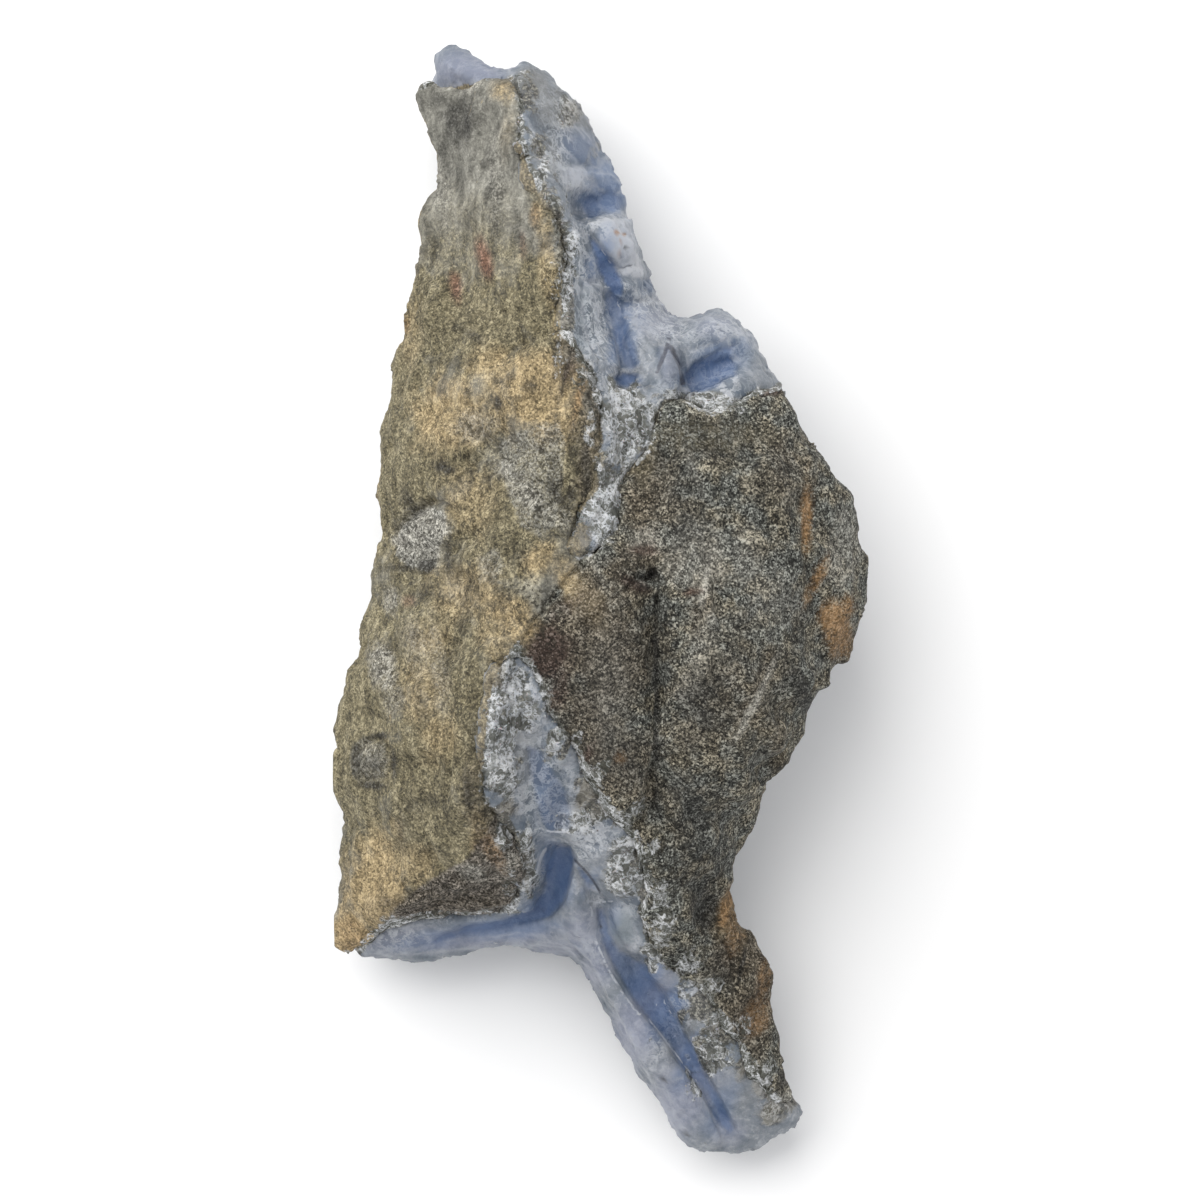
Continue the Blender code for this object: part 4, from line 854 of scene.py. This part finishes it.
    def bump(self, height, strength, distance, under=None):
        node = self.nodes.new("ShaderNodeBump")
        node.inputs["Strength"].default_value = strength
        node.inputs["Distance"].default_value = distance
        self.links.new(height, node.inputs["Height"])
        if under is not None:
            self.links.new(under, node.inputs["Normal"])
        return node.outputs["Normal"]

    def finish(self, colour, values):
        """Links the colour to the shader and sets its plain values."""
        self.links.new(colour, self.shader.inputs["Base Color"])
        for name, value in values.items():
            self.shader.inputs[name].default_value = value

    def torn_edge(self, size, width, place):
        """Two sides of a torn flake, nothing and one, and a thin line along its ragged edge."""
        field = self.noise(size, detail=6.0, roughness=0.60, place=place)
        side = self.spread(field, 0.5 - 0.2 * width, 0.5 + 0.2 * width)
        away = self.math("ABSOLUTE", self.math("SUBTRACT", field, 0.5 + 0.5 * width))
        return side, self.spread(away, width, 0.35 * width)

    def quartz(self, white=None):
        """White ragged flakes among clear grey quartz: colour, tone and the flakes' thin edges."""
        pushed = self.warp(0.0020, 0.0014)
        cloud = self.noise(0.0036, detail=5.0, roughness=0.62, place=pushed)
        fine = self.noise(0.0006, detail=3.0, roughness=0.7)
        side, edge = self.torn_edge(0.0024, 0.032, pushed)
        small_side, small_edge = self.torn_edge(0.0013, 0.036, self.stretched((1.0, 0.7, 1.3), pushed))
        edges = self.math("MAXIMUM", edge, self.math("MULTIPLY", small_edge, 0.8))
        tone = self.total(
            (cloud, 1.25), (fine, 0.55), (side, 0.15), (small_side, 0.13),
            (self.cells(0.0005, pushed), 0.22),
        )
        tone = self.math("ADD", tone, self.math("MULTIPLY", edges, 0.34))
        if white is not None:
            tone = self.math("ADD", tone, self.math("MULTIPLY", white, 0.26))
        colour = self.ramp(tone, [
            (0.24, (0.034, 0.034, 0.026)), (0.41, (0.070, 0.071, 0.058)), (0.56, (0.130, 0.134, 0.120)),
            (0.70, (0.225, 0.231, 0.220)), (0.84, (0.385, 0.392, 0.390)), (1.00, (0.66, 0.67, 0.68)),
        ])
        plates = self.total((side, 0.6), (small_side, 0.4))
        return colour, tone, edges, plates


def rock_material():
    """Salt-and-pepper grains, tan where the face has weathered, with listed stains laid on, among them a
    little painted shade and painted highlight.
    """
    t = Tree("weathered_dolerite")
    warped = t.warp(0.0010, 0.0002)
    grain = t.total(
        (t.cells(0.00026, warped), 0.60), (t.cells(0.00018, warped, 1), 0.50),
        (t.noise(0.0020, detail=5.0, roughness=0.68), 0.8),
    )
    streaks = t.noise(0.0016, detail=3.0, place=t.stretched((1.0, 0.32, 1.0), warped))
    speckle = t.noise(0.0006, detail=5.0, roughness=0.75)
    soft = t.total((t.cells(0.00022, warped, 2), 0.50), (grain, 0.25), (streaks, 0.9), (speckle, 1.2))
    tint = t.noise(0.0032, detail=3.0)
    smooth = t.total((streaks, 1.0), (speckle, 0.9), (grain, 0.25), (t.noise(0.006, detail=3.0), 0.7))
    fresh = t.mix(t.spread(tint, 0.42, 0.62), t.grains(grain, (0.078, 0.080, 0.070), 1.5),
                  t.grains(grain, (0.102, 0.091, 0.066), 1.5))
    weathered = t.grains(smooth, (0.192, 0.187, 0.162), 0.85)
    broad = t.total((t.noise(0.0012, detail=4.0, roughness=0.65), 1.8))

    def laid_on(name, strongest=1.0):
        """A laid-on patch whose edge breaks up into grains."""
        raw = t.attribute(name)
        edge = t.swing(broad, t.math("MULTIPLY", raw, 1.2))
        full = t.math("ADD", t.math("MULTIPLY", raw, 1.25), edge)
        broken = t.math("MINIMUM", t.math("MAXIMUM", full, 0.0), 1.0)
        return t.math("MULTIPLY", broken, strongest)

    colour = t.mix(t.attribute("weathered"), fresh, weathered)
    colour = t.mix(laid_on("olive", 0.9), colour, t.grains(soft, (0.168, 0.144, 0.083), 0.9))
    colour = t.mix(laid_on("tan"), colour, t.grains(soft, (0.322, 0.249, 0.138), 0.7))
    colour = t.mix(t.attribute("bare"), colour, t.grains(grain, (0.215, 0.212, 0.190), 0.85))
    colour = t.mix(t.attribute("crumbly"), colour, t.grains(grain, (0.120, 0.105, 0.088), 1.2))
    # Brown stains, with a strip of painted shade along the foot of the left face's lower wall
    colour = t.mix(laid_on("brown", 0.8), colour, t.grains(grain, (0.096, 0.078, 0.054), 1.1))
    # Paler grain, with painted highlight along two ridge crests on the right block
    colour = t.mix(laid_on("pale", 0.8), colour, t.grains(grain, (0.30, 0.288, 0.250), 0.8))
    colour = t.mix(laid_on("ochre", 0.75), colour, t.grains(soft, (0.255, 0.150, 0.066), 0.8))
    colour = t.mix(t.math("MULTIPLY", t.attribute("streak"), 0.9), colour,
                   t.grains(soft, (0.165, 0.086, 0.056), 0.8))
    # Dark grains and stains, with painted shade down the right block's valley and along the foot of the
    # left face's lower wall
    colour = t.mix(laid_on("dark", 0.82), colour, t.grains(grain, (0.030, 0.029, 0.026), 0.9))
    colour = t.mix(laid_on("rust", 0.85), colour, t.grains(grain, (0.048, 0.030, 0.022), 0.9))
    pits = t.total((t.noise(0.0010, detail=5.0, roughness=0.70), 1.0), (t.cells(0.00035, warped, 2), 0.16))
    in_pit = t.math("MULTIPLY", t.spread(pits, 0.455, 0.395), t.attribute("pitted"))
    colour = t.mix(t.math("MULTIPLY", in_pit, 0.85), colour, (0.030, 0.026, 0.018))
    flakes = t.quartz()[0]
    scraps = t.noise(0.0013, detail=8.0, roughness=0.74, place=t.warp(0.0016, 0.0012))
    crust = t.torn("quartz", scraps, 2.2, 0.56, 0.76)
    colour = t.mix(t.math("MULTIPLY", crust, 0.85), colour, flakes)
    past_seam = t.torn("inside", scraps, 2.2, 0.15, 0.40)
    colour = t.mix(t.math("MULTIPLY", past_seam, t.attribute("facing")), colour, flakes)
    t.finish(colour, {"Roughness": 0.85, "Specular IOR Level": 0.3})
    coarse = t.bump(t.noise(0.0014, detail=7.0, roughness=0.68), 0.6, 0.0006)
    pitted = t.bump(t.math("SUBTRACT", 1.0, in_pit), 0.6, 0.0005, under=coarse)
    t.links.new(t.bump(grain, 0.5, 0.00014, under=pitted), t.shader.inputs["Normal"])
    return t.material


def agate_material():
    """Waxy chalcedony in soft layers of blue, with the sugary quartz of its crust."""
    t = Tree("blue_lace_chalcedony")
    cloud = t.noise(0.0030, detail=4.0, roughness=0.6)
    fine = t.noise(0.0008, detail=5.0, roughness=0.65)
    ripple = t.math("ADD", t.attribute("layer"), t.swing(cloud, 1.6))
    coarse_lines = t.math("SINE", t.math("MULTIPLY", ripple, 2.3))
    fine_lines = t.math("SINE", t.math("MULTIPLY", ripple, 6.1))
    lines = t.math("ADD", t.math("MULTIPLY", coarse_lines, 0.20), t.math("MULTIPLY", fine_lines, 0.14))
    lines = t.math("MULTIPLY", lines, t.attribute("lace"))
    flake_colour, flakes, edges, plates = t.quartz(t.attribute("white"))
    faces = t.cells(0.0026, t.warp(0.0030, 0.0024), 2)
    tone = t.math("ADD", lines, t.total((cloud, 0.9), (fine, 0.7), (faces, 0.20), (flakes, 0.25)))
    tone = t.math("ADD", tone, t.attribute("paleness"))
    layered = t.swing(plates, t.attribute("flaky"))
    tone = t.math("ADD", tone, t.math("MULTIPLY", layered, 0.7))
    body = t.ramp(tone, [
        (0.05, (0.070, 0.094, 0.128)), (0.40, (0.132, 0.156, 0.186)), (0.65, (0.206, 0.226, 0.252)),
        (0.95, (0.40, 0.415, 0.445)),
    ])

    def over(name, strongest, dark, pale, under):
        tone_colour = t.mix(t.spread(tone, 0.3, 0.7), dark, pale)
        return t.mix(t.math("MULTIPLY", t.attribute(name), strongest), under, tone_colour)

    colour = over("milky", 0.90, (0.140, 0.144, 0.142), (0.235, 0.241, 0.242), body)
    colour = over("lilac", 0.90, (0.175, 0.194, 0.258), (0.285, 0.303, 0.368), colour)
    colour = over("teal", 0.85, (0.076, 0.096, 0.118), (0.176, 0.210, 0.234), colour)
    colour = over("lavender", 0.90, (0.300, 0.324, 0.385), (0.410, 0.435, 0.490), colour)
    colour = over("blue", 0.90, (0.095, 0.148, 0.262), (0.145, 0.205, 0.330), colour)
    shiver = t.swing(t.noise(0.0012, detail=5.0, roughness=0.6), 0.9)
    facing = t.attribute("facing")
    crease = t.attribute("crease")
    colour = t.mix(t.math("MULTIPLY", crease, 0.7), colour, (0.44, 0.46, 0.50))
    frost = t.math("MULTIPLY", t.attribute("frost"), t.math("ADD", t.math("MULTIPLY", edges, 0.85), 0.06))
    colour = t.mix(frost, colour, (0.52, 0.54, 0.57))
    ragged = t.noise(0.0020, detail=8.0, roughness=0.70)
    crust = t.torn("crust", ragged, 2.4, 0.34, 0.58)
    colour = t.mix(t.math("MULTIPLY", crust, 0.95), colour, flake_colour)
    colour = t.mix(t.math("MULTIPLY", edges, t.math("MULTIPLY", t.attribute("flaky"), 0.5)), colour,
                   (0.42, 0.44, 0.47))
    opened = t.spread(t.math("ADD", t.attribute("deep_depth"), shiver), 0.0, 0.6)
    deep_tone = t.mix(t.spread(tone, 0.3, 0.8), (0.050, 0.098, 0.220), (0.084, 0.150, 0.300))
    opened = t.math("MULTIPLY", t.math("MULTIPLY", opened, t.attribute("deep")), 0.95)
    colour = t.mix(opened, colour, deep_tone)
    for name, ink in (("pale_crease", (0.46, 0.48, 0.52)), ("dark_crease", (0.040, 0.045, 0.065))):
        near = t.spread(t.math("ADD", t.attribute(name), shiver), 1.3, 0.7)
        colour = t.mix(t.math("MULTIPLY", t.math("MULTIPLY", near, facing), 0.8), colour, ink)
    grain = t.total(
        (t.cells(0.00030), 0.62), (t.cells(0.00020), 0.48),
        (t.noise(0.0020, detail=5.0, roughness=0.68), 0.8),
    )
    tan = t.grains(t.total((grain, 0.6), (t.noise(0.0006, detail=5.0, roughness=0.75), 0.9)),
                   (0.180, 0.152, 0.098), 1.0)
    host = t.mix(t.attribute("tan"), t.grains(grain, (0.078, 0.074, 0.060), 1.3), tan)
    colour = t.mix(t.math("MULTIPLY", t.torn("rocky", ragged, 2.0, 0.50, 0.70), 0.9), colour, host)
    grime = t.ramp(flakes, [
        (0.30, (0.050, 0.045, 0.034)), (0.55, (0.150, 0.138, 0.110)), (0.80, (0.31, 0.295, 0.26)),
    ])
    colour = t.mix(t.math("MULTIPLY", t.torn("dirty", ragged, 1.4, 0.40, 0.75), 0.6), colour, grime)
    under_seam = t.torn("inside", ragged, 2.2, 0.05, -0.20)
    colour = t.mix(t.math("MULTIPLY", under_seam, t.attribute("under_rock")), colour, host)
    colour = t.mix(t.attribute("speck"), colour, (0.28, 0.15, 0.07))
    colour = t.mix(t.attribute("black_speck"), colour, (0.02, 0.02, 0.025))
    t.finish(colour, {
        "Roughness": 0.45, "IOR": QUARTZ_IOR, "Subsurface Weight": 0.15,
        "Subsurface Radius": (0.8, 1.0, 1.4), "Subsurface Scale": 0.00025,
    })
    raised = t.math("ADD", flakes, t.math("MULTIPLY", edges, 0.3))
    roughened = t.math("MULTIPLY", raised, t.math("ADD", t.attribute("crust"), 0.25))
    soft = t.bump(t.noise(0.0022, detail=4.0, roughness=0.55), 0.30, 0.0006)
    t.links.new(t.bump(roughened, 0.5, 0.0003, under=soft), t.shader.inputs["Normal"])
    return t.material


def shard_material():
    """Clear to milky quartz."""
    t = Tree("quartz_shards")
    tone = t.total((t.attribute("tint"), 0.9), (t.noise(0.0006, detail=3.0), 0.8))
    colour = t.ramp(tone, [
        (0.05, (0.11, 0.114, 0.104)), (0.40, (0.18, 0.186, 0.180)), (0.70, (0.28, 0.288, 0.290)),
        (0.95, (0.46, 0.47, 0.485)),
    ])
    t.finish(colour, {
        "Roughness": 0.45, "IOR": QUARTZ_IOR, "Subsurface Weight": 0.2, "Subsurface Scale": 0.0004,
    })
    return t.material


class ScatterTree:
    """Geometry Nodes that strew small broken bits over a face, with named inputs."""

    def __init__(self, name):
        self.group = bpy.data.node_groups.new(name, "GeometryNodeTree")
        self.names = {}
        self.input("Geometry", "NodeSocketGeometry", None)
        self.group.interface.new_socket("Geometry", in_out="OUTPUT", socket_type="NodeSocketGeometry")
        self.start = self.group.nodes.new("NodeGroupInput")
        self.end = self.group.nodes.new("NodeGroupOutput")

    def input(self, name, kind, default):
        socket = self.group.interface.new_socket(name, in_out="INPUT", socket_type=kind)
        if default is not None:
            socket.default_value = default
        self.names[name] = socket.identifier

    def add(self, kind, **inputs):
        node = self.group.nodes.new(kind)
        for key, value in inputs.items():
            self.connect(node.inputs[key.replace("_", " ")], value)
        return node

    def connect(self, socket, value):
        if isinstance(value, bpy.types.NodeSocket):
            self.group.links.new(value, socket)
        else:
            socket.default_value = value

    def chance(self, kind, low, high, seed):
        """A random value for every bit."""
        node = self.group.nodes.new("FunctionNodeRandomValue")
        node.data_type = kind
        sockets = [s for s in node.inputs if s.enabled and s.name in ("Min", "Max")]
        self.connect(sockets[0], low)
        self.connect(sockets[1], high)
        node.inputs["Seed"].default_value = seed
        return next(s for s in node.outputs if s.enabled)


def scatter_tree():
    """Lumps, wedges and flakes of random size and turn, each with a random tint."""
    tree = ScatterTree("broken_bits")
    tree.input("Density", "NodeSocketFloat", 1.0)
    tree.input("Smallest", "NodeSocketFloat", 0.0002)
    tree.input("Largest", "NodeSocketFloat", 0.0006)
    tree.input("Slenderness", "NodeSocketFloat", 0.6)
    tree.input("Seed", "NodeSocketInt", 1)
    tree.input("Material", "NodeSocketMaterial", None)
    start = tree.start.outputs
    where = tree.add("GeometryNodeInputNamedAttribute", Name="bits")
    where.data_type = "FLOAT"
    wanted = tree.add("ShaderNodeMath")
    wanted.operation = "MULTIPLY"
    tree.connect(wanted.inputs[0], start["Density"])
    tree.connect(wanted.inputs[1], where.outputs[0])
    strewn = tree.add("GeometryNodeDistributePointsOnFaces", Mesh=start["Geometry"], Seed=start["Seed"])
    tree.connect(strewn.inputs["Density"], wanted.outputs[0])
    lump = tree.add("GeometryNodeMeshIcoSphere", Radius=0.5, Subdivisions=1)
    wedge = tree.add("GeometryNodeMeshCone", Vertices=5, Radius_Top=0.22, Radius_Bottom=0.5, Depth=1.1)
    flake = tree.add("GeometryNodeMeshCone", Vertices=4, Radius_Top=0.3, Radius_Bottom=0.6, Depth=0.35)
    kinds = tree.add("GeometryNodeGeometryToInstance")
    for shape in (lump, wedge, flake):
        tree.connect(kinds.inputs["Geometry"], shape.outputs["Mesh"])
    size = tree.chance("FLOAT", start["Smallest"], start["Largest"], 3)
    stretch = tree.chance("FLOAT_VECTOR", (0.45, 0.45, 0.45), (1.0, 1.0, 1.0), 5)
    long_axis = tree.add("ShaderNodeCombineXYZ", X=1.0, Y=1.0, Z=start["Slenderness"])
    shaped = tree.add("ShaderNodeVectorMath")
    shaped.operation = "MULTIPLY"
    tree.connect(shaped.inputs[0], stretch)
    tree.connect(shaped.inputs[1], long_axis.outputs[0])
    scaled = tree.add("ShaderNodeVectorMath")
    scaled.operation = "SCALE"
    tree.connect(scaled.inputs[0], shaped.outputs[0])
    tree.connect(scaled.inputs["Scale"], size)
    turned = tree.chance("FLOAT_VECTOR", (1.0, -0.5, 0.0), (2.1, 0.5, 2.0 * math.pi), 7)
    lying = tree.add("FunctionNodeRotateRotation")
    tree.connect(lying.inputs[0], strewn.outputs["Rotation"])
    tree.connect(lying.inputs[1], turned)
    lying.rotation_space = "LOCAL"
    placed = tree.add("GeometryNodeInstanceOnPoints", Points=strewn.outputs["Points"],
                      Instance=kinds.outputs[0], Pick_Instance=True, Rotation=lying.outputs[0],
                      Scale=scaled.outputs[0])
    tinted = tree.add("GeometryNodeStoreNamedAttribute", Geometry=placed.outputs[0], Name="tint")
    tinted.data_type = "FLOAT"
    tinted.domain = "INSTANCE"
    tree.connect(tinted.inputs["Value"], tree.chance("FLOAT", 0.0, 1.0, 9))
    real = tree.add("GeometryNodeRealizeInstances", Geometry=tinted.outputs[0])
    coloured = tree.add("GeometryNodeSetMaterial", Geometry=real.outputs[0], Material=start["Material"])
    tree.connect(tree.end.inputs[0], coloured.outputs[0])
    return tree


def strew(name, surface, where, settings):
    """Bits strewn over a surface, as thick as the values say, realised as one plain mesh."""
    tree = scatter_tree()
    ground = surface.copy()
    add_attribute(ground, "bits", where)
    obj = bpy.data.objects.new(name, ground)
    bpy.context.scene.collection.objects.link(obj)
    modifier = obj.modifiers.new("strew", "NODES")
    modifier.node_group = tree.group
    for key, value in settings.items():
        modifier[tree.names[key]] = value
    graph = bpy.context.evaluated_depsgraph_get()
    mesh = bpy.data.meshes.new_from_object(obj.evaluated_get(graph))
    bpy.data.objects.remove(obj)
    mesh.name = name
    move_points(mesh, read_points(mesh)[0])
    piece = bpy.data.objects.new(name, mesh)
    bpy.context.scene.collection.objects.link(piece)
    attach(piece, "root")


def seam_distance(flat):
    """Distance from where rock and agate meet in the front, in millimetres."""
    return np.minimum(distance_to_line(flat, UPPER_WINDOW), distance_to_line(flat, LOWER_WINDOW))


def agate_depth(flat):
    """How deep each point lies in the front's agate, in millimetres, negative on the rock."""
    upper = depth_inside(flat, UPPER_WINDOW + UPPER_CORNERS)
    lower = depth_inside(flat, LOWER_WINDOW + LOWER_CORNERS)
    return np.maximum(upper, lower)


def make_rock():
    """The host rock, with the pits, cracks and grain that its solid is too coarse for."""
    mesh = fine_copy("host_rock")
    points, normals = read_points(mesh)
    flat = points[:, :2]
    facing_up = looking_up(normals, -0.05, 0.25)
    waver = waver_at(points, 11.0)
    relief = np.zeros(len(points))
    for kind, height, size, seed in ROCK_RELIEF:
        relief += height * MM * ROUGHNESS[kind](points, size, seed)
    pitted = patches(flat, PITTED_PATCHES, waver) * facing_up
    relief -= PIT_DEPTH * MM * pitted * smooth_step(3.0 * noise_at(points, 0.0009, 23.0))
    for line, half_width, height in ROCK_LINES:
        away = distance_to_line(flat, line) / half_width + 0.3 * waver
        relief += height * MM * smooth_step(1.0 - away) * facing_up
    move_points(mesh, points + normals * relief[:, None])

    mesh = thinned(mesh)
    points, normals = read_points(mesh)
    flat = points[:, :2]
    facing_up = looking_up(normals, -0.05, 0.25)
    waver = waver_at(points, 11.0)
    depth = depth_inside(flat, WEATHERED_FACE)
    weathered = smooth_step(0.5 + (depth + 0.8 * waver) / 1.4)
    add_attribute(mesh, "weathered", weathered)
    inside = agate_depth(flat)
    quartz = 0.75 * smooth_step((CRUST_ON_ROCK + inside + 0.4 * waver) / CRUST_ON_ROCK)
    quartz = np.maximum(quartz, patches(flat, QUARTZ_PATCHES, waver))
    add_attribute(mesh, "inside", np.clip(inside, -EDGE_REACH, EDGE_REACH))
    add_attribute(mesh, "facing", facing_up)
    for name, faces in (("bare", BARE_FACES), ("crumbly", CRUMBLY_FACES)):
        cover = np.zeros(len(points))
        for outline, strength in faces:
            depth = depth_inside(flat, outline) + 0.3 * waver
            cover = np.maximum(cover, strength * smooth_step(0.5 + depth / 0.5))
        add_attribute(mesh, name, cover * facing_up)
    add_attribute(mesh, "quartz", quartz * facing_up)
    add_attribute(mesh, "pitted", patches(flat, PITTED_PATCHES, waver) * facing_up)
    stains = noise_at(points, 0.013, 61.0) + 0.4 * waver
    sides = {
        "tan": weathered * smooth_step(2.0 * stains),
        "olive": weathered,
        "brown": (1.0 - weathered) * smooth_step(0.4 - 2.0 * stains),
        "pale": (1.0 - weathered) * 0.5 * smooth_step(2.5 * stains - 0.2),
    }
    for name, spots in (
        ("tan", TAN_PATCHES), ("olive", OLIVE_PATCHES), ("brown", BROWN_PATCHES),
        ("ochre", OCHRE_PATCHES), ("rust", RUST_PATCHES), ("streak", STREAK_PATCHES),
        ("pale", PALE_AND_HIGHLIGHT_PATCHES), ("dark", DARK_AND_SHADE_PATCHES),
    ):
        cover = patches(flat, spots, waver) * facing_up
        if name in sides:
            cover = np.maximum(cover, sides[name] * (1.0 - facing_up))
        add_attribute(mesh, name, cover)
    finished_piece("dressed_rock", mesh, rock_material(), "host_rock")


def make_agate():
    """The agate, with its broken plates, crust and open bands."""
    mesh = fine_copy("agate_vein")
    points, normals = read_points(mesh)
    flat = points[:, :2]

    def front(normals):
        return looking_up(normals, -0.25, 0.3)

    def crusted(flat, normals, waver):
        near_rock = smooth_step((CRUST_SPREAD - seam_distance(flat) + 0.8 * waver) / CRUST_SPREAD)
        crust = np.maximum(near_rock, patches(flat, CRUST_PATCHES, waver)) * front(normals)
        deepest, strength = open_bands(flat)
        return crust * (1.0 - 0.9 * strength * smooth_step(deepest / 0.4))

    waver = waver_at(points, 31.0)
    crust = crusted(flat, normals, waver)
    edge = smooth_step(1.2 - 2.5 * np.abs(normals[:, 2]))
    calm = patches(flat, CALM_PATCHES, waver) * front(normals) * (1.0 - edge)
    lively = 1.0 - 0.85 * calm
    relief = np.zeros(len(points))
    for kind, size, seed, plain, on_crust, on_edge in AGATE_RELIEF:
        height = plain * lively + on_crust * crust + on_edge * edge
        relief += height * MM * ROUGHNESS[kind](points, size, seed)
    for outline, rise, _ in PLATES:
        depth = depth_inside(flat, outline) + 0.15 * waver
        relief += rise * MM * smooth_step(depth / 0.25) * front(normals)
    relief += CRUST_RISE * smooth_step((2.2 - seam_distance(flat)) / 1.6) * front(normals)
    deepest, strength = open_bands(flat)
    relief -= DEEP_SINK * MM * strength * smooth_step(deepest / DEEP_SLOPE) * front(normals)
    resting = points[:, 2] < cad_box[0].z + RESTING_BAND * MM
    relief = np.where(resting, 0.0, relief)
    move_points(mesh, points + normals * relief[:, None])

    mesh = thinned(mesh)
    points, normals = read_points(mesh)
    flat = points[:, :2]
    facing = front(normals)
    waver = waver_at(points, 31.0)
    crust = crusted(flat, normals, waver)
    add_attribute(mesh, "layer", points @ np.array(LACE_SLOPE) / MM)
    add_attribute(mesh, "under_rock", looking_up(normals, 0.25, 0.3))
    add_attribute(mesh, "lace", 1.0 - 0.85 * facing)
    add_attribute(mesh, "crust", crust)
    deepest, strength = open_bands(flat)
    add_attribute(mesh, "deep", strength * facing)
    add_attribute(mesh, "deep_depth", deepest)
    add_attribute(mesh, "pale_crease", nearest_crease(flat, True))
    add_attribute(mesh, "dark_crease", nearest_crease(flat, False))
    add_attribute(mesh, "facing", facing)
    add_attribute(mesh, "inside", np.clip(agate_depth(flat), -EDGE_REACH, EDGE_REACH))
    paleness = np.zeros(len(points))
    rims = np.zeros(len(points))
    for outline, _, pale in PLATES:
        depth = depth_inside(flat, outline) + 0.15 * waver
        paleness += pale * smooth_step(depth / 0.25)
        rims = np.maximum(rims, smooth_step(1.5 - 6.0 * np.abs(depth)))
    add_attribute(mesh, "paleness", paleness * facing)
    add_attribute(mesh, "tan", smooth_step(0.5 + depth_inside(flat, WEATHERED_FACE) / 1.0) * facing)
    crease = 0.5 * rims * smooth_step(0.8 + 1.2 * noise_at(points, 0.0016, 51.0))
    add_attribute(mesh, "crease", crease * facing)
    for name, spots, unrest in (
        ("blue", BLUE_PATCHES, 0.5), ("teal", TEAL_PATCHES, 0.6), ("lavender", LAVENDER_PATCHES, 0.5),
        ("lilac", LILAC_PATCHES, 0.6), ("white", WHITE_PATCHES, 0.8),
        ("milky", MILKY_PATCHES, 0.8), ("rocky", ROCKY_PATCHES, 0.8), ("flaky", FLAKY_PATCHES, 0.8),
        ("frost", FROST_PATCHES, 1.0), ("dirty", DIRTY_PATCHES, 1.0), ("speck", SPECKS, 0.4),
        ("black_speck", BLACK_SPECKS, 0.4),
    ):
        add_attribute(mesh, name, np.clip(patches(flat, spots, unrest * waver), 0.0, 1.0) * facing)
    finished_piece("dressed_agate", mesh, agate_material(), "agate_vein")
    frost = patches(flat, FROST_PATCHES, waver) * facing
    upward = smooth_step(2.0 * normals[:, 2])
    strew("quartz_shards", mesh, (np.clip(crust, 0.0, 1.0) ** 2 + 0.05 * frost) * upward, {
        "Density": 0.8e6, "Smallest": 0.00015, "Largest": 0.00055, "Slenderness": 1.5, "Seed": 11,
        "Material": shard_material(),
    })


def make_floor():
    """A plain pale floor that runs far past the stone."""
    half = 4.0
    depth = -0.00002  # just under the resting face, so that the two don't flicker
    mesh = bpy.data.meshes.new("floor")
    corners = [(-half, -half, depth), (half, -half, depth), (half, half, depth), (-half, half, depth)]
    mesh.from_pydata(corners, [], [(0, 1, 2, 3)])
    material = bpy.data.materials.new("pale_floor")
    material.use_nodes = True
    shader = material.node_tree.nodes["Principled BSDF"]
    shader.inputs["Base Color"].default_value = (0.93, 0.93, 0.93, 1.0)
    shader.inputs["Roughness"].default_value = 0.9
    shader.inputs["Specular IOR Level"].default_value = 0.1
    mesh.materials.append(material)
    floor = bpy.data.objects.new("floor", mesh)
    bpy.context.scene.collection.objects.link(floor)


def make_camera():
    """Looks straight down on the stone from a little over a metre, as the photograph frames it."""
    height = 1.12
    rim_height = 0.015  # where the stone's outline lies, which the frame is fitted to
    camera = bpy.data.cameras.new("camera")
    camera.sensor_width = 36.0
    camera.lens = camera.sensor_width * (height - rim_height) / (FRAME_PIXELS * PIXEL)
    camera.clip_end = 20.0
    obj = bpy.data.objects.new("camera", camera)
    obj.location = (0.0, 0.0, height)
    bpy.context.scene.collection.objects.link(obj)
    bpy.context.scene.camera = obj


def add_softbox(name, place, size, power, colour):
    """A square light of this size in metres and power in watts, turned to the stone."""
    light = bpy.data.lights.new(name, "AREA")
    light.shape = "SQUARE"
    light.size = size
    light.energy = power
    light.color = colour
    obj = bpy.data.objects.new(name, light)
    obj.location = place
    obj.rotation_euler = (-Vector(place)).to_track_quat("-Z", "Y").to_euler()
    bpy.context.scene.collection.objects.link(obj)


def make_light():
    """Plain soft studio light: a pale sky, and one large softbox above the top of the stone."""
    scene = bpy.context.scene
    scene.view_settings.view_transform = "Standard"
    world = bpy.data.worlds.new("studio")
    scene.world = world
    world.use_nodes = True
    background = world.node_tree.nodes["Background"]
    background.inputs["Color"].default_value = (0.98, 0.985, 1.0, 1.0)
    background.inputs["Strength"].default_value = 0.78
    add_softbox("softbox", place=(-0.42, 0.56, 0.80), size=1.1, power=12.0, colour=(1.0, 0.99, 0.97))


make_light()
make_camera()
make_floor()
make_rock()
make_agate()
